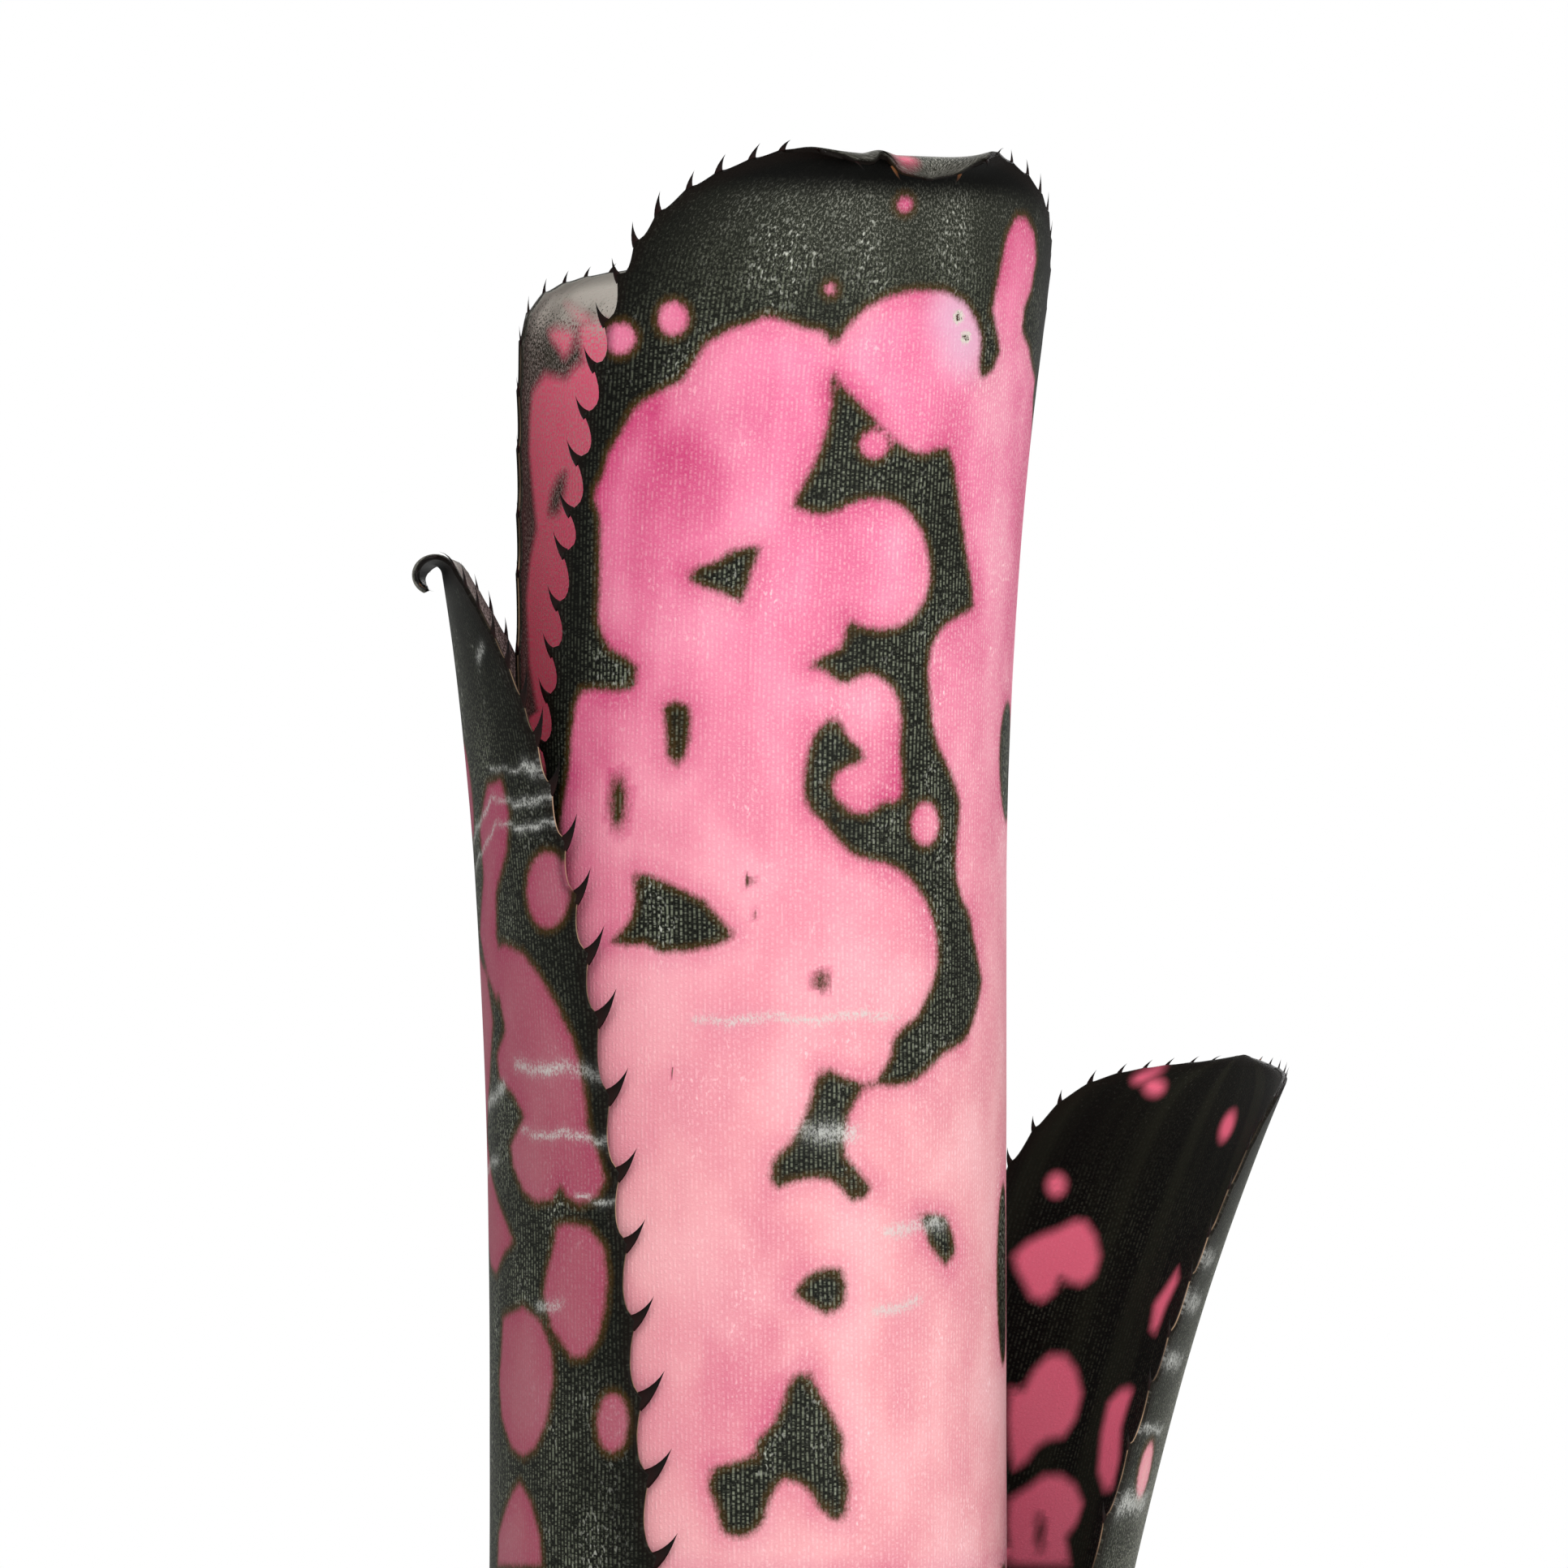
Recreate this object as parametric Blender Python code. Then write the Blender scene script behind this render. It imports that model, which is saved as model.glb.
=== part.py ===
"""A tubular bromeliad cut at its base: eight overlapping leaves round a short stem.

Lengths are metres, +Z is up, and the origin is the middle of the flat cut that it stands on.
The front of the plant, where its tallest leaf turns its outer face, looks along -Y.
"""

import math
from dataclasses import dataclass

import bmesh
import bpy
import numpy as np

MM = 0.001

# The tube. Layer 0 is the tallest leaf; each layer outside it wraps it one step further out.
TUBE_RADIUS = 31.1 * MM
BASE_RADIUS = 16.9 * MM
SWELL_HEIGHT = 95.0 * MM
TUBE_GAP = 0.5 * MM
BASE_GAP = 0.45 * MM
WRAP_LIMIT = math.radians(122.0)

# Thickness of a leaf at the cut, in its blade and along its edge
SHEATH_THICKNESS = 1.6 * MM
BLADE_THICKNESS = 0.95 * MM
EDGE_SHARE = 0.7

# The stem is a cone, and the inner leaves start where it has narrowed to their size
STEM_RADIUS = 17.0 * MM
STEM_TAPER = 0.38
STEM_HEIGHT = 40.0 * MM
STEM_SIDES = 40
SEAT_GAP = 0.35 * MM

# Edge spines, from the tip of a leaf down to where they are full grown
SPINE_LENGTH_TIP = 1.3 * MM
SPINE_LENGTH_FULL = 3.8 * MM
SPINE_BASE_TIP = 1.0 * MM
SPINE_BASE_FULL = 2.6 * MM
SPINE_PITCH_TIP = 3.2 * MM
SPINE_PITCH_FULL = 8.8 * MM
SPINE_GROWTH = 85.0 * MM
SPINE_RAKE = math.radians(32.0)
SPINE_JITTER = 0.12
SCALLOP_SHARE = 0.22

# Heights of the rows of points that the leaves share, and rows counted down from each tip
SHARED_ROWS = [value * MM for value in (10, 22, 36, 52, 72, 95, 130, 165, 200, 235, 270, 300)]
TIP_ROWS = [value * MM for value in (56, 40, 28, 19, 12.5, 8, 5, 3, 1.6)]
SHARED_ROW_MARGIN = 12.0 * MM


@dataclass
class Leaf:
    """One leaf. Sizes along it are measured from the level of the cut up its midrib."""

    name: str
    layer: float
    azimuth: float
    length: float
    shoulder: float
    shoulder_depth: float
    taper: float
    colour: tuple
    roundness: float = 1.0
    free_height: float = 260 * MM
    lean: float = 0.0
    lean_power: float = 2.0
    flare: float = 0.0
    flare_height: float = 285 * MM
    curl_length: float = 8 * MM
    curl_radius: float = 2.6 * MM
    curl_reach: float = 13 * MM
    spines_from: tuple = (150 * MM, 150 * MM)
    columns: int = 18
    roll_radius: float = 0.0
    seed: int = 1


LEAVES = [
    Leaf("lower_back_leaf", 4, 126, 150 * MM, 30 * MM, 9 * MM, 0.14, (0.055, 0.075, 0.05),
         free_height=48 * MM, lean=0.72, lean_power=1.0, flare=3 * MM, flare_height=60 * MM,
         spines_from=(60 * MM, 60 * MM), columns=16, seed=11),
    Leaf("lower_front_leaf", 3, -96, 176 * MM, 31 * MM, 9 * MM, 0.13, (0.05, 0.07, 0.05),
         free_height=60 * MM, lean=0.60, lean_power=1.0, flare=3 * MM, flare_height=80 * MM,
         spines_from=(75 * MM, 75 * MM), columns=16, seed=12),
    Leaf("right_leaf", 2, 32, 259 * MM, 24.5 * MM, 6.5 * MM, 0.15, (0.04, 0.05, 0.035),
         free_height=70 * MM, lean=0.45, lean_power=1.0, flare=2 * MM, flare_height=200 * MM,
         curl_length=6.5 * MM, curl_radius=2.3 * MM, curl_reach=10 * MM,
         spines_from=(95 * MM, 95 * MM), seed=13),
    Leaf("left_leaf", 1, 177, 317.5 * MM, 29.5 * MM, 13 * MM, 0.095, (0.06, 0.085, 0.06),
         roundness=0.8, free_height=200 * MM, lean=0.19, curl_length=10 * MM,
         curl_radius=2.8 * MM, curl_reach=7 * MM, spines_from=(125 * MM, 125 * MM), seed=14),
    Leaf("main_leaf", 0, -62, 364 * MM, 33 * MM, 5.6 * MM, 0.18, (0.72, 0.20, 0.34),
         free_height=260 * MM, lean=0.075, flare=6.2 * MM, flare_height=272 * MM,
         curl_length=7 * MM, curl_radius=2.3 * MM, curl_reach=12 * MM,
         spines_from=(280 * MM, 150 * MM), seed=15),
    Leaf("back_leaf", -1, 90, 352.5 * MM, 41 * MM, 4 * MM, 0.06, (0.62, 0.18, 0.30),
         free_height=290 * MM, lean=0.05, flare=0.8 * MM, flare_height=300 * MM,
         curl_length=6 * MM, curl_radius=2.2 * MM, curl_reach=12 * MM,
         spines_from=(250 * MM, 165 * MM), seed=16),
    Leaf("inner_leaf", -2, 230, 284 * MM, 30 * MM, 6 * MM, 0.13, (0.45, 0.16, 0.22),
         curl_radius=400 * MM, spines_from=(205 * MM, 205 * MM), columns=16, seed=17),
    Leaf("heart_leaf", -3, 5, 236 * MM, 15 * MM, 16 * MM, 0.09, (0.10, 0.16, 0.08),
         roundness=0.9, curl_length=5 * MM, curl_radius=4 * MM, curl_reach=4 * MM,
         spines_from=(150 * MM, 150 * MM), columns=14, roll_radius=9 * MM, seed=18),
]


def clear_scene():
    """Remove every object of the open file."""
    for item in list(bpy.data.objects):
        bpy.data.objects.remove(item, do_unlink=True)


def smooth(value):
    """Smoothstep from 0 to 1."""
    value = min(max(value, 0.0), 1.0)
    return value * value * (3.0 - 2.0 * value)


def mix(start, end, share):
    return start + (end - start) * share


def stem_radius(height):
    return STEM_RADIUS - STEM_TAPER * height


def curl_start(leaf):
    return leaf.length - leaf.curl_length


def outer_radius(leaf, along):
    """Radius of the outer face round the leaf's own centre line."""
    base = BASE_RADIUS + leaf.layer * (SHEATH_THICKNESS + BASE_GAP)
    tube = TUBE_RADIUS + leaf.layer * (BLADE_THICKNESS + TUBE_GAP)
    if leaf.roll_radius:
        tube = leaf.roll_radius
    reach = curl_start(leaf) - leaf.flare_height
    opened = min(max(along - leaf.flare_height, 0.0), reach) / reach if leaf.flare else 0.0
    return mix(base, tube, smooth(along / SWELL_HEIGHT)) + leaf.flare * opened ** 2


def flare_slope(leaf):
    """Angle at which the opened-out blade meets its curled tip."""
    if not leaf.flare:
        return 0.0
    return math.atan(2.0 * leaf.flare / (curl_start(leaf) - leaf.flare_height))


def half_width(leaf, along):
    """Half the width of the flattened leaf: a round shoulder, then a slow widening."""
    depth = max(leaf.length - along, 0.0)
    shoulder = leaf.shoulder * (1.0 - math.exp(-(depth / leaf.shoulder_depth) ** leaf.roundness))
    width = max(shoulder + leaf.taper * depth, 1e-6)
    limit = WRAP_LIMIT * outer_radius(leaf, along)
    return (width ** -8 + limit ** -8) ** (-1.0 / 8.0)


def thickness(leaf, across, along):
    """Thick at the cut, even in the blade and thinner along the edges."""
    middle = mix(SHEATH_THICKNESS, BLADE_THICKNESS, smooth(along / SWELL_HEIGHT))
    share = min(abs(across) / half_width(leaf, along), 1.0)
    return middle * mix(1.0, EDGE_SHARE, share ** 6)


def leaf_point(leaf, across, along, depth=0.0):
    """Point of a leaf, depth below its outer face.

    The blade is an arc round a centre line that runs up the plant's axis and then leans
    out with the midrib. Past curl_start a tongue of it round the midrib bends outward.
    """
    straight = min(along, curl_start(leaf))
    span = leaf.length - leaf.free_height
    freed = max(straight - leaf.free_height, 0.0) / span
    power = leaf.lean_power
    tilt = leaf.lean * freed ** power
    shift = span * leaf.lean * freed ** (power + 1) / (power + 1)
    drop = span * leaf.lean ** 2 * freed ** (2 * power + 1) / (2 * (2 * power + 1))

    radius = outer_radius(leaf, straight)
    angle = across / radius
    window = math.exp(-(across / leaf.curl_reach) ** 4)
    bend = max(window / leaf.curl_radius, 1.0)
    past = along - straight
    first = flare_slope(leaf) if past else 0.0
    turned = first + bend * past
    rise = (math.sin(turned) - math.sin(first)) / bend
    outward = (math.cos(first) - math.cos(turned)) / bend

    reach = radius + outward - depth * math.cos(turned)
    lift = rise + depth * math.sin(turned)
    middle = reach * math.cos(angle)
    side = reach * math.sin(angle)
    radial = shift + middle * math.cos(tilt) + lift * math.sin(tilt)
    height = straight - drop - middle * math.sin(tilt) + lift * math.cos(tilt)
    height += radius * math.sin(tilt)

    azimuth = math.radians(leaf.azimuth)
    x = radial * math.cos(azimuth) - side * math.sin(azimuth)
    y = radial * math.sin(azimuth) + side * math.cos(azimuth)
    return (x, y, height)


def leaf_foot(leaf):
    """Height at which a leaf starts: at the cut, or where it meets the narrowing stem."""
    low, high = 0.0, STEM_HEIGHT
    if outer_radius(leaf, 0.0) - SHEATH_THICKNESS >= STEM_RADIUS:
        return 0.0
    for _ in range(40):
        middle = (low + high) / 2
        inside = outer_radius(leaf, middle) - thickness(leaf, 0.0, middle)
        if inside - SEAT_GAP < stem_radius(middle):
            low = middle
        else:
            high = middle
    return high


def edge_table(leaf, foot):
    """Distances down the edge from the tip, with the height along the leaf at each."""
    steps = np.linspace(0.0, 1.0, 600) ** 3
    along = leaf.length - steps * (leaf.length - foot)
    across = np.array([half_width(leaf, value) for value in along])
    lengths = np.hypot(np.diff(across), np.diff(along))
    return np.concatenate([[0.0], np.cumsum(lengths)]), along


def edge_frame(leaf, table, distance):
    """Flat point of the right edge, its outward direction and its direction to the tip."""
    step = 0.4 * MM
    places = []
    for value in (max(distance - step, 0.0), distance, distance + step):
        along = float(np.interp(value, *table))
        places.append(np.array([half_width(leaf, along), along]))
    to_tip = places[0] - places[2]
    to_tip /= np.linalg.norm(to_tip)
    outward = np.array([to_tip[1], -to_tip[0]])
    return places[1], outward, to_tip


def spine_places(leaf, table, lowest, random):
    """Distances from the tip, lengths and base widths of the spines down one edge."""
    spines = []
    distance = SPINE_PITCH_TIP
    while float(np.interp(distance, *table)) > lowest:
        grown = smooth(distance / SPINE_GROWTH)
        length = mix(SPINE_LENGTH_TIP, SPINE_LENGTH_FULL, grown)
        spines.append((distance, length, mix(SPINE_BASE_TIP, SPINE_BASE_FULL, grown)))
        pitch = mix(SPINE_PITCH_TIP, SPINE_PITCH_FULL, grown)
        distance += pitch * (1.0 + SPINE_JITTER * random.uniform(-1.0, 1.0))
    return spines


def edge_line(leaf, foot, rows, lowest, side, random):
    """Points of one edge from the tip down, and the apex of the spine that follows each."""
    table = edge_table(leaf, foot)
    mirror = np.array([side, 1.0])
    points = []
    apexes = []
    previous = 0.0
    for distance, length, base in spine_places(leaf, table, lowest, random):
        middle = (previous + distance) / 2
        place, outward, _ = edge_frame(leaf, table, middle)
        if previous:
            points.append((place - outward * length * SCALLOP_SHARE) * mirror)
            apexes.append(None)
        place, outward, to_tip = edge_frame(leaf, table, distance)
        points.append(edge_frame(leaf, table, distance - base / 2)[0] * mirror)
        direction = outward * math.cos(SPINE_RAKE) + to_tip * math.sin(SPINE_RAKE)
        apexes.append((place + direction * length) * mirror)
        points.append(edge_frame(leaf, table, distance + base / 2)[0] * mirror)
        apexes.append(None)
        previous = distance
    last = points[-1][1]
    for row in sorted(rows, reverse=True):
        if row < last - 4 * MM:
            points.append(np.array([side * half_width(leaf, row), row]))
            apexes.append(None)
    return points, apexes


def leaf_rows(leaf, foot):
    """Heights of the rows of points, shared ones first, then the closer ones of the tip."""
    tip = [leaf.length - value for value in TIP_ROWS]
    shared = [row for row in SHARED_ROWS if foot + 3 * MM < row < tip[0] - SHARED_ROW_MARGIN]
    return [foot] + shared + tip


def leaf_layout(leaf):
    """Flat layout of a leaf: a grid of points inside and a closely pointed edge round it."""
    foot = leaf_foot(leaf)
    rows = leaf_rows(leaf, foot)
    random = np.random.default_rng(leaf.seed)
    grid = []
    for row in rows:
        width = half_width(leaf, row)
        shares = [2.0 * i / leaf.columns - 1.0 for i in range(1, leaf.columns)]
        grid.append([np.array([share * width, row]) for share in shares])
    left, left_apexes = edge_line(leaf, foot, rows, leaf.spines_from[0], -1.0, random)
    right, right_apexes = edge_line(leaf, foot, rows, leaf.spines_from[1], 1.0, random)
    tip_apex = np.array([0.0, leaf.length + SPINE_LENGTH_TIP])
    edge = left[::-1] + right
    apexes = left_apexes[:-1][::-1] + [tip_apex] + right_apexes
    return grid, edge, apexes


def zip_lines(inside, outside):
    """Triangles between two lines of flat points, always with the shorter diagonal."""
    faces = []
    i = j = 0
    while i < len(inside) - 1 or j < len(outside) - 1:
        if j == len(outside) - 1:
            take_inside = True
        elif i == len(inside) - 1:
            take_inside = False
        else:
            one = np.linalg.norm(inside[i + 1] - outside[j])
            other = np.linalg.norm(inside[i] - outside[j + 1])
            take_inside = one < other
        if take_inside:
            faces.append((("in", i), ("in", i + 1), ("out", j)))
            i += 1
        else:
            faces.append((("out", j), ("in", i), ("out", j + 1)))
            j += 1
    return faces


def leaf_faces(grid, edge):
    """Triangles of the flat leaf, as triples of point numbers: grid first, then edge."""
    columns = len(grid[0])
    rows = len(grid)
    faces = []
    for row in range(rows - 1):
        for column in range(columns - 1):
            a = row * columns + column
            b, c, d = a + 1, a + columns + 1, a + columns
            faces += [(a, b, c), (a, c, d)]
    ring = [row * columns for row in range(rows)]
    ring += [(rows - 1) * columns + column for column in range(1, columns)]
    ring += [row * columns + columns - 1 for row in range(rows - 2, -1, -1)]
    flat = [point for line in grid for point in line]
    names = {"in": ring, "out": [rows * columns + j for j in range(len(edge))]}
    for face in zip_lines([flat[number] for number in ring], edge):
        faces.append(tuple(names[kind][index] for kind, index in face))
    return faces


def build_leaf(leaf):
    """Closed mesh of one leaf: outer face, inner face, cut foot, edge and spines."""
    grid, edge, apexes = leaf_layout(leaf)
    flat = [point for line in grid for point in line] + edge
    faces = leaf_faces(grid, edge)
    mesh = bmesh.new()
    outer = [mesh.verts.new(leaf_point(leaf, *point)) for point in flat]
    inner = [mesh.verts.new(leaf_point(leaf, *point, thickness(leaf, *point))) for point in flat]
    for a, b, c in faces:
        mesh.faces.new((outer[a], outer[b], outer[c]))
        mesh.faces.new((inner[c], inner[b], inner[a]))

    first = len(flat) - len(edge)
    for j in range(len(edge) - 1):
        ring = [outer[first + j], outer[first + j + 1], inner[first + j + 1], inner[first + j]]
        if apexes[j] is None:
            mesh.faces.new((ring[0], ring[1], ring[2]))
            mesh.faces.new((ring[0], ring[2], ring[3]))
            continue
        depth = thickness(leaf, *apexes[j]) / 2
        apex = mesh.verts.new(leaf_point(leaf, *apexes[j], depth))
        for k in range(4):
            mesh.faces.new((ring[k], ring[(k + 1) % 4], apex))

    foot = [first] + list(range(leaf.columns - 1)) + [len(flat) - 1]
    for a, b in zip(foot, foot[1:]):
        mesh.faces.new((outer[a], inner[a], inner[b]))
        mesh.faces.new((outer[a], inner[b], outer[b]))
    return mesh


def build_stem():
    """Short cone with a rounded top and the flat cut that the plant stands on."""
    profile = [(0.0, 0.0), (STEM_RADIUS, 0.0), (stem_radius(STEM_HEIGHT / 2), STEM_HEIGHT / 2)]
    shoulder = stem_radius(STEM_HEIGHT)
    profile.append((shoulder, STEM_HEIGHT))
    for step in (1, 2):
        turn = math.radians(30 * step)
        profile.append((shoulder * math.cos(turn), STEM_HEIGHT + shoulder * math.sin(turn)))
    profile.append((0.0, STEM_HEIGHT + shoulder))
    mesh = bmesh.new()
    points = [mesh.verts.new((radius, 0.0, height)) for radius, height in profile]
    lines = [mesh.edges.new(pair) for pair in zip(points, points[1:])]
    bmesh.ops.spin(mesh, geom=points + lines, axis=(0, 0, 1), cent=(0, 0, 0),
                   angle=math.tau, steps=STEM_SIDES, use_merge=True)
    bmesh.ops.remove_doubles(mesh, verts=mesh.verts, dist=1e-6)
    bmesh.ops.recalc_face_normals(mesh, faces=mesh.faces)
    return mesh


def make_material(name, colour, roughness):
    material = bpy.data.materials.new(name)
    material.use_nodes = True
    shader = material.node_tree.nodes["Principled BSDF"]
    shader.inputs["Base Color"].default_value = (*colour, 1.0)
    shader.inputs["Roughness"].default_value = roughness
    shader.inputs["Metallic"].default_value = 0.0
    return material


def add_object(name, mesh, colour, roughness, crease):
    data = bpy.data.meshes.new(name)
    mesh.to_mesh(data)
    mesh.free()
    data.shade_smooth()
    data.set_sharp_from_angle(angle=math.radians(crease))
    data.materials.append(make_material(name, colour, roughness))
    item = bpy.data.objects.new(name, data)
    bpy.context.scene.collection.objects.link(item)
    return item


def main():
    clear_scene()
    add_object("stem", build_stem(), (0.42, 0.36, 0.20), 0.7, 40)
    for leaf in LEAVES:
        add_object(leaf.name, build_leaf(leaf), leaf.colour, 0.5, 50)


main()
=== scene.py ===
"""A tubular bromeliad with pink-blotched leaves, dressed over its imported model.

Each leaf is laid out flat, with its edge, its spine places and its markings, and a Geometry
Nodes tree then grows the spines, rolls the leaf round the plant and gives it its materials.
Lengths are metres and +Z is up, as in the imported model; markings are written in millimetres.
"""

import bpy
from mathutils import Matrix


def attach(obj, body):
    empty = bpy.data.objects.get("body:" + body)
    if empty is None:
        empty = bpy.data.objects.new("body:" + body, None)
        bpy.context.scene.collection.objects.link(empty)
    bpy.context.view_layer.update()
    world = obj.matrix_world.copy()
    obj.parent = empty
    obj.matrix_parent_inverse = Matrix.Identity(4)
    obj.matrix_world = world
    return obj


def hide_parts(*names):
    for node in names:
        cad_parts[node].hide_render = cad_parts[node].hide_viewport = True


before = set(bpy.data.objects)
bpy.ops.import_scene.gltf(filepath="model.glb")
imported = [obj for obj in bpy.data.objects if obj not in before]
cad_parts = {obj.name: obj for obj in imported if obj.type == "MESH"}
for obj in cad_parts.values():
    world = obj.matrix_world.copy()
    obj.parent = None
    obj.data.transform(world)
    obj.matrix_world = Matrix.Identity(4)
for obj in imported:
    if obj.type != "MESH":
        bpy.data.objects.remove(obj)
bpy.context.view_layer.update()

import math
from dataclasses import dataclass

import bpy
import numpy as np
from bpy.props import FloatProperty, FloatVectorProperty, IntProperty, PointerProperty
from mathutils import Vector

bl_info = {
    "name": "Blotched Bromeliad",
    "version": (1, 0, 0),
    "blender": (4, 5, 0),
    "location": "3D View > Sidebar > Bromeliad",
    "description": "Builds a tubular bromeliad with spined, pink-blotched leaves",
    "category": "Add Mesh",
}

MM = 0.001

# The tube of leaves. Layer 0 is the tallest leaf; each layer outside it is one step further out.
TUBE_RADIUS = 31.1 * MM
BASE_RADIUS = 16.9 * MM
SWELL_HEIGHT = 95.0 * MM
TUBE_GAP = 0.5 * MM
BASE_GAP = 0.45 * MM
WRAP_LIMIT = math.radians(122.0)
SHEATH_THICKNESS = 1.6 * MM
BLADE_THICKNESS = 0.95 * MM
EDGE_SHARE = 0.7

# The stem cone that the inner leaves start from
STEM_RADIUS = 17.0 * MM
STEM_TAPER = 0.38
STEM_HEIGHT = 40.0 * MM
SEAT_GAP = 0.35 * MM

# Distances down an edge over which spines draw apart, and over which they lengthen
SPINE_GROWTH = 85.0 * MM
SPINE_RISE = 24.0 * MM
SPINE_JITTER = 0.12

# Place of the crease and small cleft in a leaf's tip
CLEFT_PLACE = -4.9 * MM


@dataclass
class Leaf:
    """One leaf. Sizes along it are measured from the level of the cut up its midrib.

    scurf is the share of pale scales on the outer and inner face, and tip_scurf the share
    on the inner face at the tip. veil is the height over which that share dies away.
    """

    name: str
    layer: float
    azimuth: float
    length: float
    shoulder: float
    shoulder_depth: float
    taper: float
    slot: str
    roundness: float = 1.0
    free_height: float = 260 * MM
    lean: float = 0.0
    lean_power: float = 2.0
    flare: float = 0.0
    flare_height: float = 285 * MM
    curl_centre: float = 0.0
    curl_length: float = 8 * MM
    curl_radius: float = 2.6 * MM
    curl_reach: float = 13 * MM
    spines_from: tuple = (150 * MM, 150 * MM)
    roll_radius: float = 0.0
    seed: int = 1
    scurf: tuple = (0.12, 0.1)
    tip_scurf: float = 0.3
    veil: float = 20 * MM
    fold: float = 0.0
    cell: float = 0.8 * MM
    half_columns: int = 40
    bite: float = 1.2 * MM
    spine_share: float = 0.7
    spine_pitch: tuple = (3.2 * MM, 8.8 * MM)
    trim: float = 0.0
    # Share of painted shade: a dark mauve laid over the pink of a leaf that faces away from the light.
    painted_shade: float = 0.0
    trim_reach: float = 40 * MM
    tip_haze: float = 0.0
    cleft: float = 0.0


BLOTCHED = "pink_blotched_leaf"
SPOTTED = "dark_spotted_leaf"

LEAVES = [
    Leaf("main_leaf", 0, -62, 363.4 * MM, 33 * MM, 5.6 * MM, 0.18, BLOTCHED,
         free_height=260 * MM, lean=0.075, flare=6.2 * MM, flare_height=272 * MM,
         curl_centre=-1.3 * MM, curl_length=6.4 * MM, curl_radius=2.3 * MM, curl_reach=13.3 * MM,
         spines_from=(280 * MM, 150 * MM), seed=15,
         scurf=(0.04, 0.25), tip_scurf=0.3, fold=0.5 * MM, cell=0.72 * MM,
         half_columns=47, bite=2.3 * MM, tip_haze=0.22, spine_share=0.52,
         spine_pitch=(3.9 * MM, 5.8 * MM), cleft=1.6 * MM),
    Leaf("back_leaf", -1, 90, 352.5 * MM, 41 * MM, 4 * MM, 0.06, BLOTCHED,
         free_height=290 * MM, lean=0.05, flare=0.8 * MM, flare_height=300 * MM,
         curl_length=6 * MM, curl_radius=2.2 * MM, curl_reach=12 * MM,
         spines_from=(250 * MM, 165 * MM), seed=16,
         scurf=(0.12, 0.3), tip_scurf=1.0, veil=14 * MM, half_columns=44, spine_share=0.45),
    Leaf("inner_leaf", -2, 230, 284 * MM, 30 * MM, 6 * MM, 0.13, BLOTCHED,
         curl_radius=400 * MM, spines_from=(205 * MM, 205 * MM), seed=17,
         cell=1.1 * MM, half_columns=30),
    Leaf("left_leaf", 1, 177, 317.3 * MM, 29.5 * MM, 13 * MM, 0.095, SPOTTED,
         roundness=0.8, free_height=200 * MM, lean=0.19, curl_length=5.6 * MM,
         curl_radius=1.35 * MM, curl_reach=14 * MM, spines_from=(125 * MM, 125 * MM), seed=14,
         scurf=(0.08, 0.3), tip_scurf=0.5, cell=0.7 * MM, half_columns=44,
         # The left leaf faces away from the key light, so its pink carries painted shade.
         bite=1.6 * MM, spine_share=0.78, trim=0.2, painted_shade=0.72),
    Leaf("right_leaf", 2, 32, 256.5 * MM, 24.5 * MM, 3.9 * MM, 0.215, SPOTTED,
         free_height=70 * MM, lean=0.45, lean_power=1.0, flare=2 * MM, flare_height=200 * MM,
         curl_length=1.5 * MM, curl_radius=3 * MM, curl_reach=10 * MM,
         spines_from=(95 * MM, 95 * MM), seed=13,
         scurf=(0.34, 0.0), tip_scurf=0.05, half_columns=40, spine_share=0.45,
         trim=-0.075, trim_reach=90 * MM),
    Leaf("heart_leaf", -3, 5, 236 * MM, 15 * MM, 16 * MM, 0.09, SPOTTED,
         roundness=0.9, curl_length=5 * MM, curl_radius=4 * MM, curl_reach=4 * MM,
         spines_from=(150 * MM, 150 * MM), roll_radius=9 * MM, seed=18,
         cell=1.1 * MM, half_columns=22),
    Leaf("lower_front_leaf", 3, -96, 176 * MM, 31 * MM, 9 * MM, 0.13, SPOTTED,
         free_height=60 * MM, lean=0.60, lean_power=1.0, flare=3 * MM, flare_height=80 * MM,
         spines_from=(75 * MM, 75 * MM), seed=12, scurf=(0.17, 0.05), half_columns=34),
    Leaf("lower_back_leaf", 4, 126, 150 * MM, 30 * MM, 9 * MM, 0.14, SPOTTED,
         free_height=48 * MM, lean=0.72, lean_power=1.0, flare=3 * MM, flare_height=60 * MM,
         spines_from=(60 * MM, 60 * MM), seed=11, scurf=(0.19, 0.05), half_columns=34),
]


@dataclass
class Marks:
    """Markings of one leaf, picked in the photograph, in millimetres on the flat leaf.

    pink and dark are closed outlines, dark cut out of pink. Spots are ovals: across, along,
    half width, half height and turn in degrees. window is the part of the leaf that they
    cover, as its lowest and highest across and its lowest along; wild marks fill the rest.
    Bands of scales run from one point to another: across, along, across, along, half width.
    Flushes deepen the pink: across, along, half width, half height and strength.
    """

    window: tuple
    pink: tuple = ()
    dark: tuple = ()
    pink_spots: tuple = ()
    dark_spots: tuple = ()
    stains: tuple = ()
    bands: tuple = ()
    scars: tuple = ()
    flushes: tuple = ()


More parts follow.
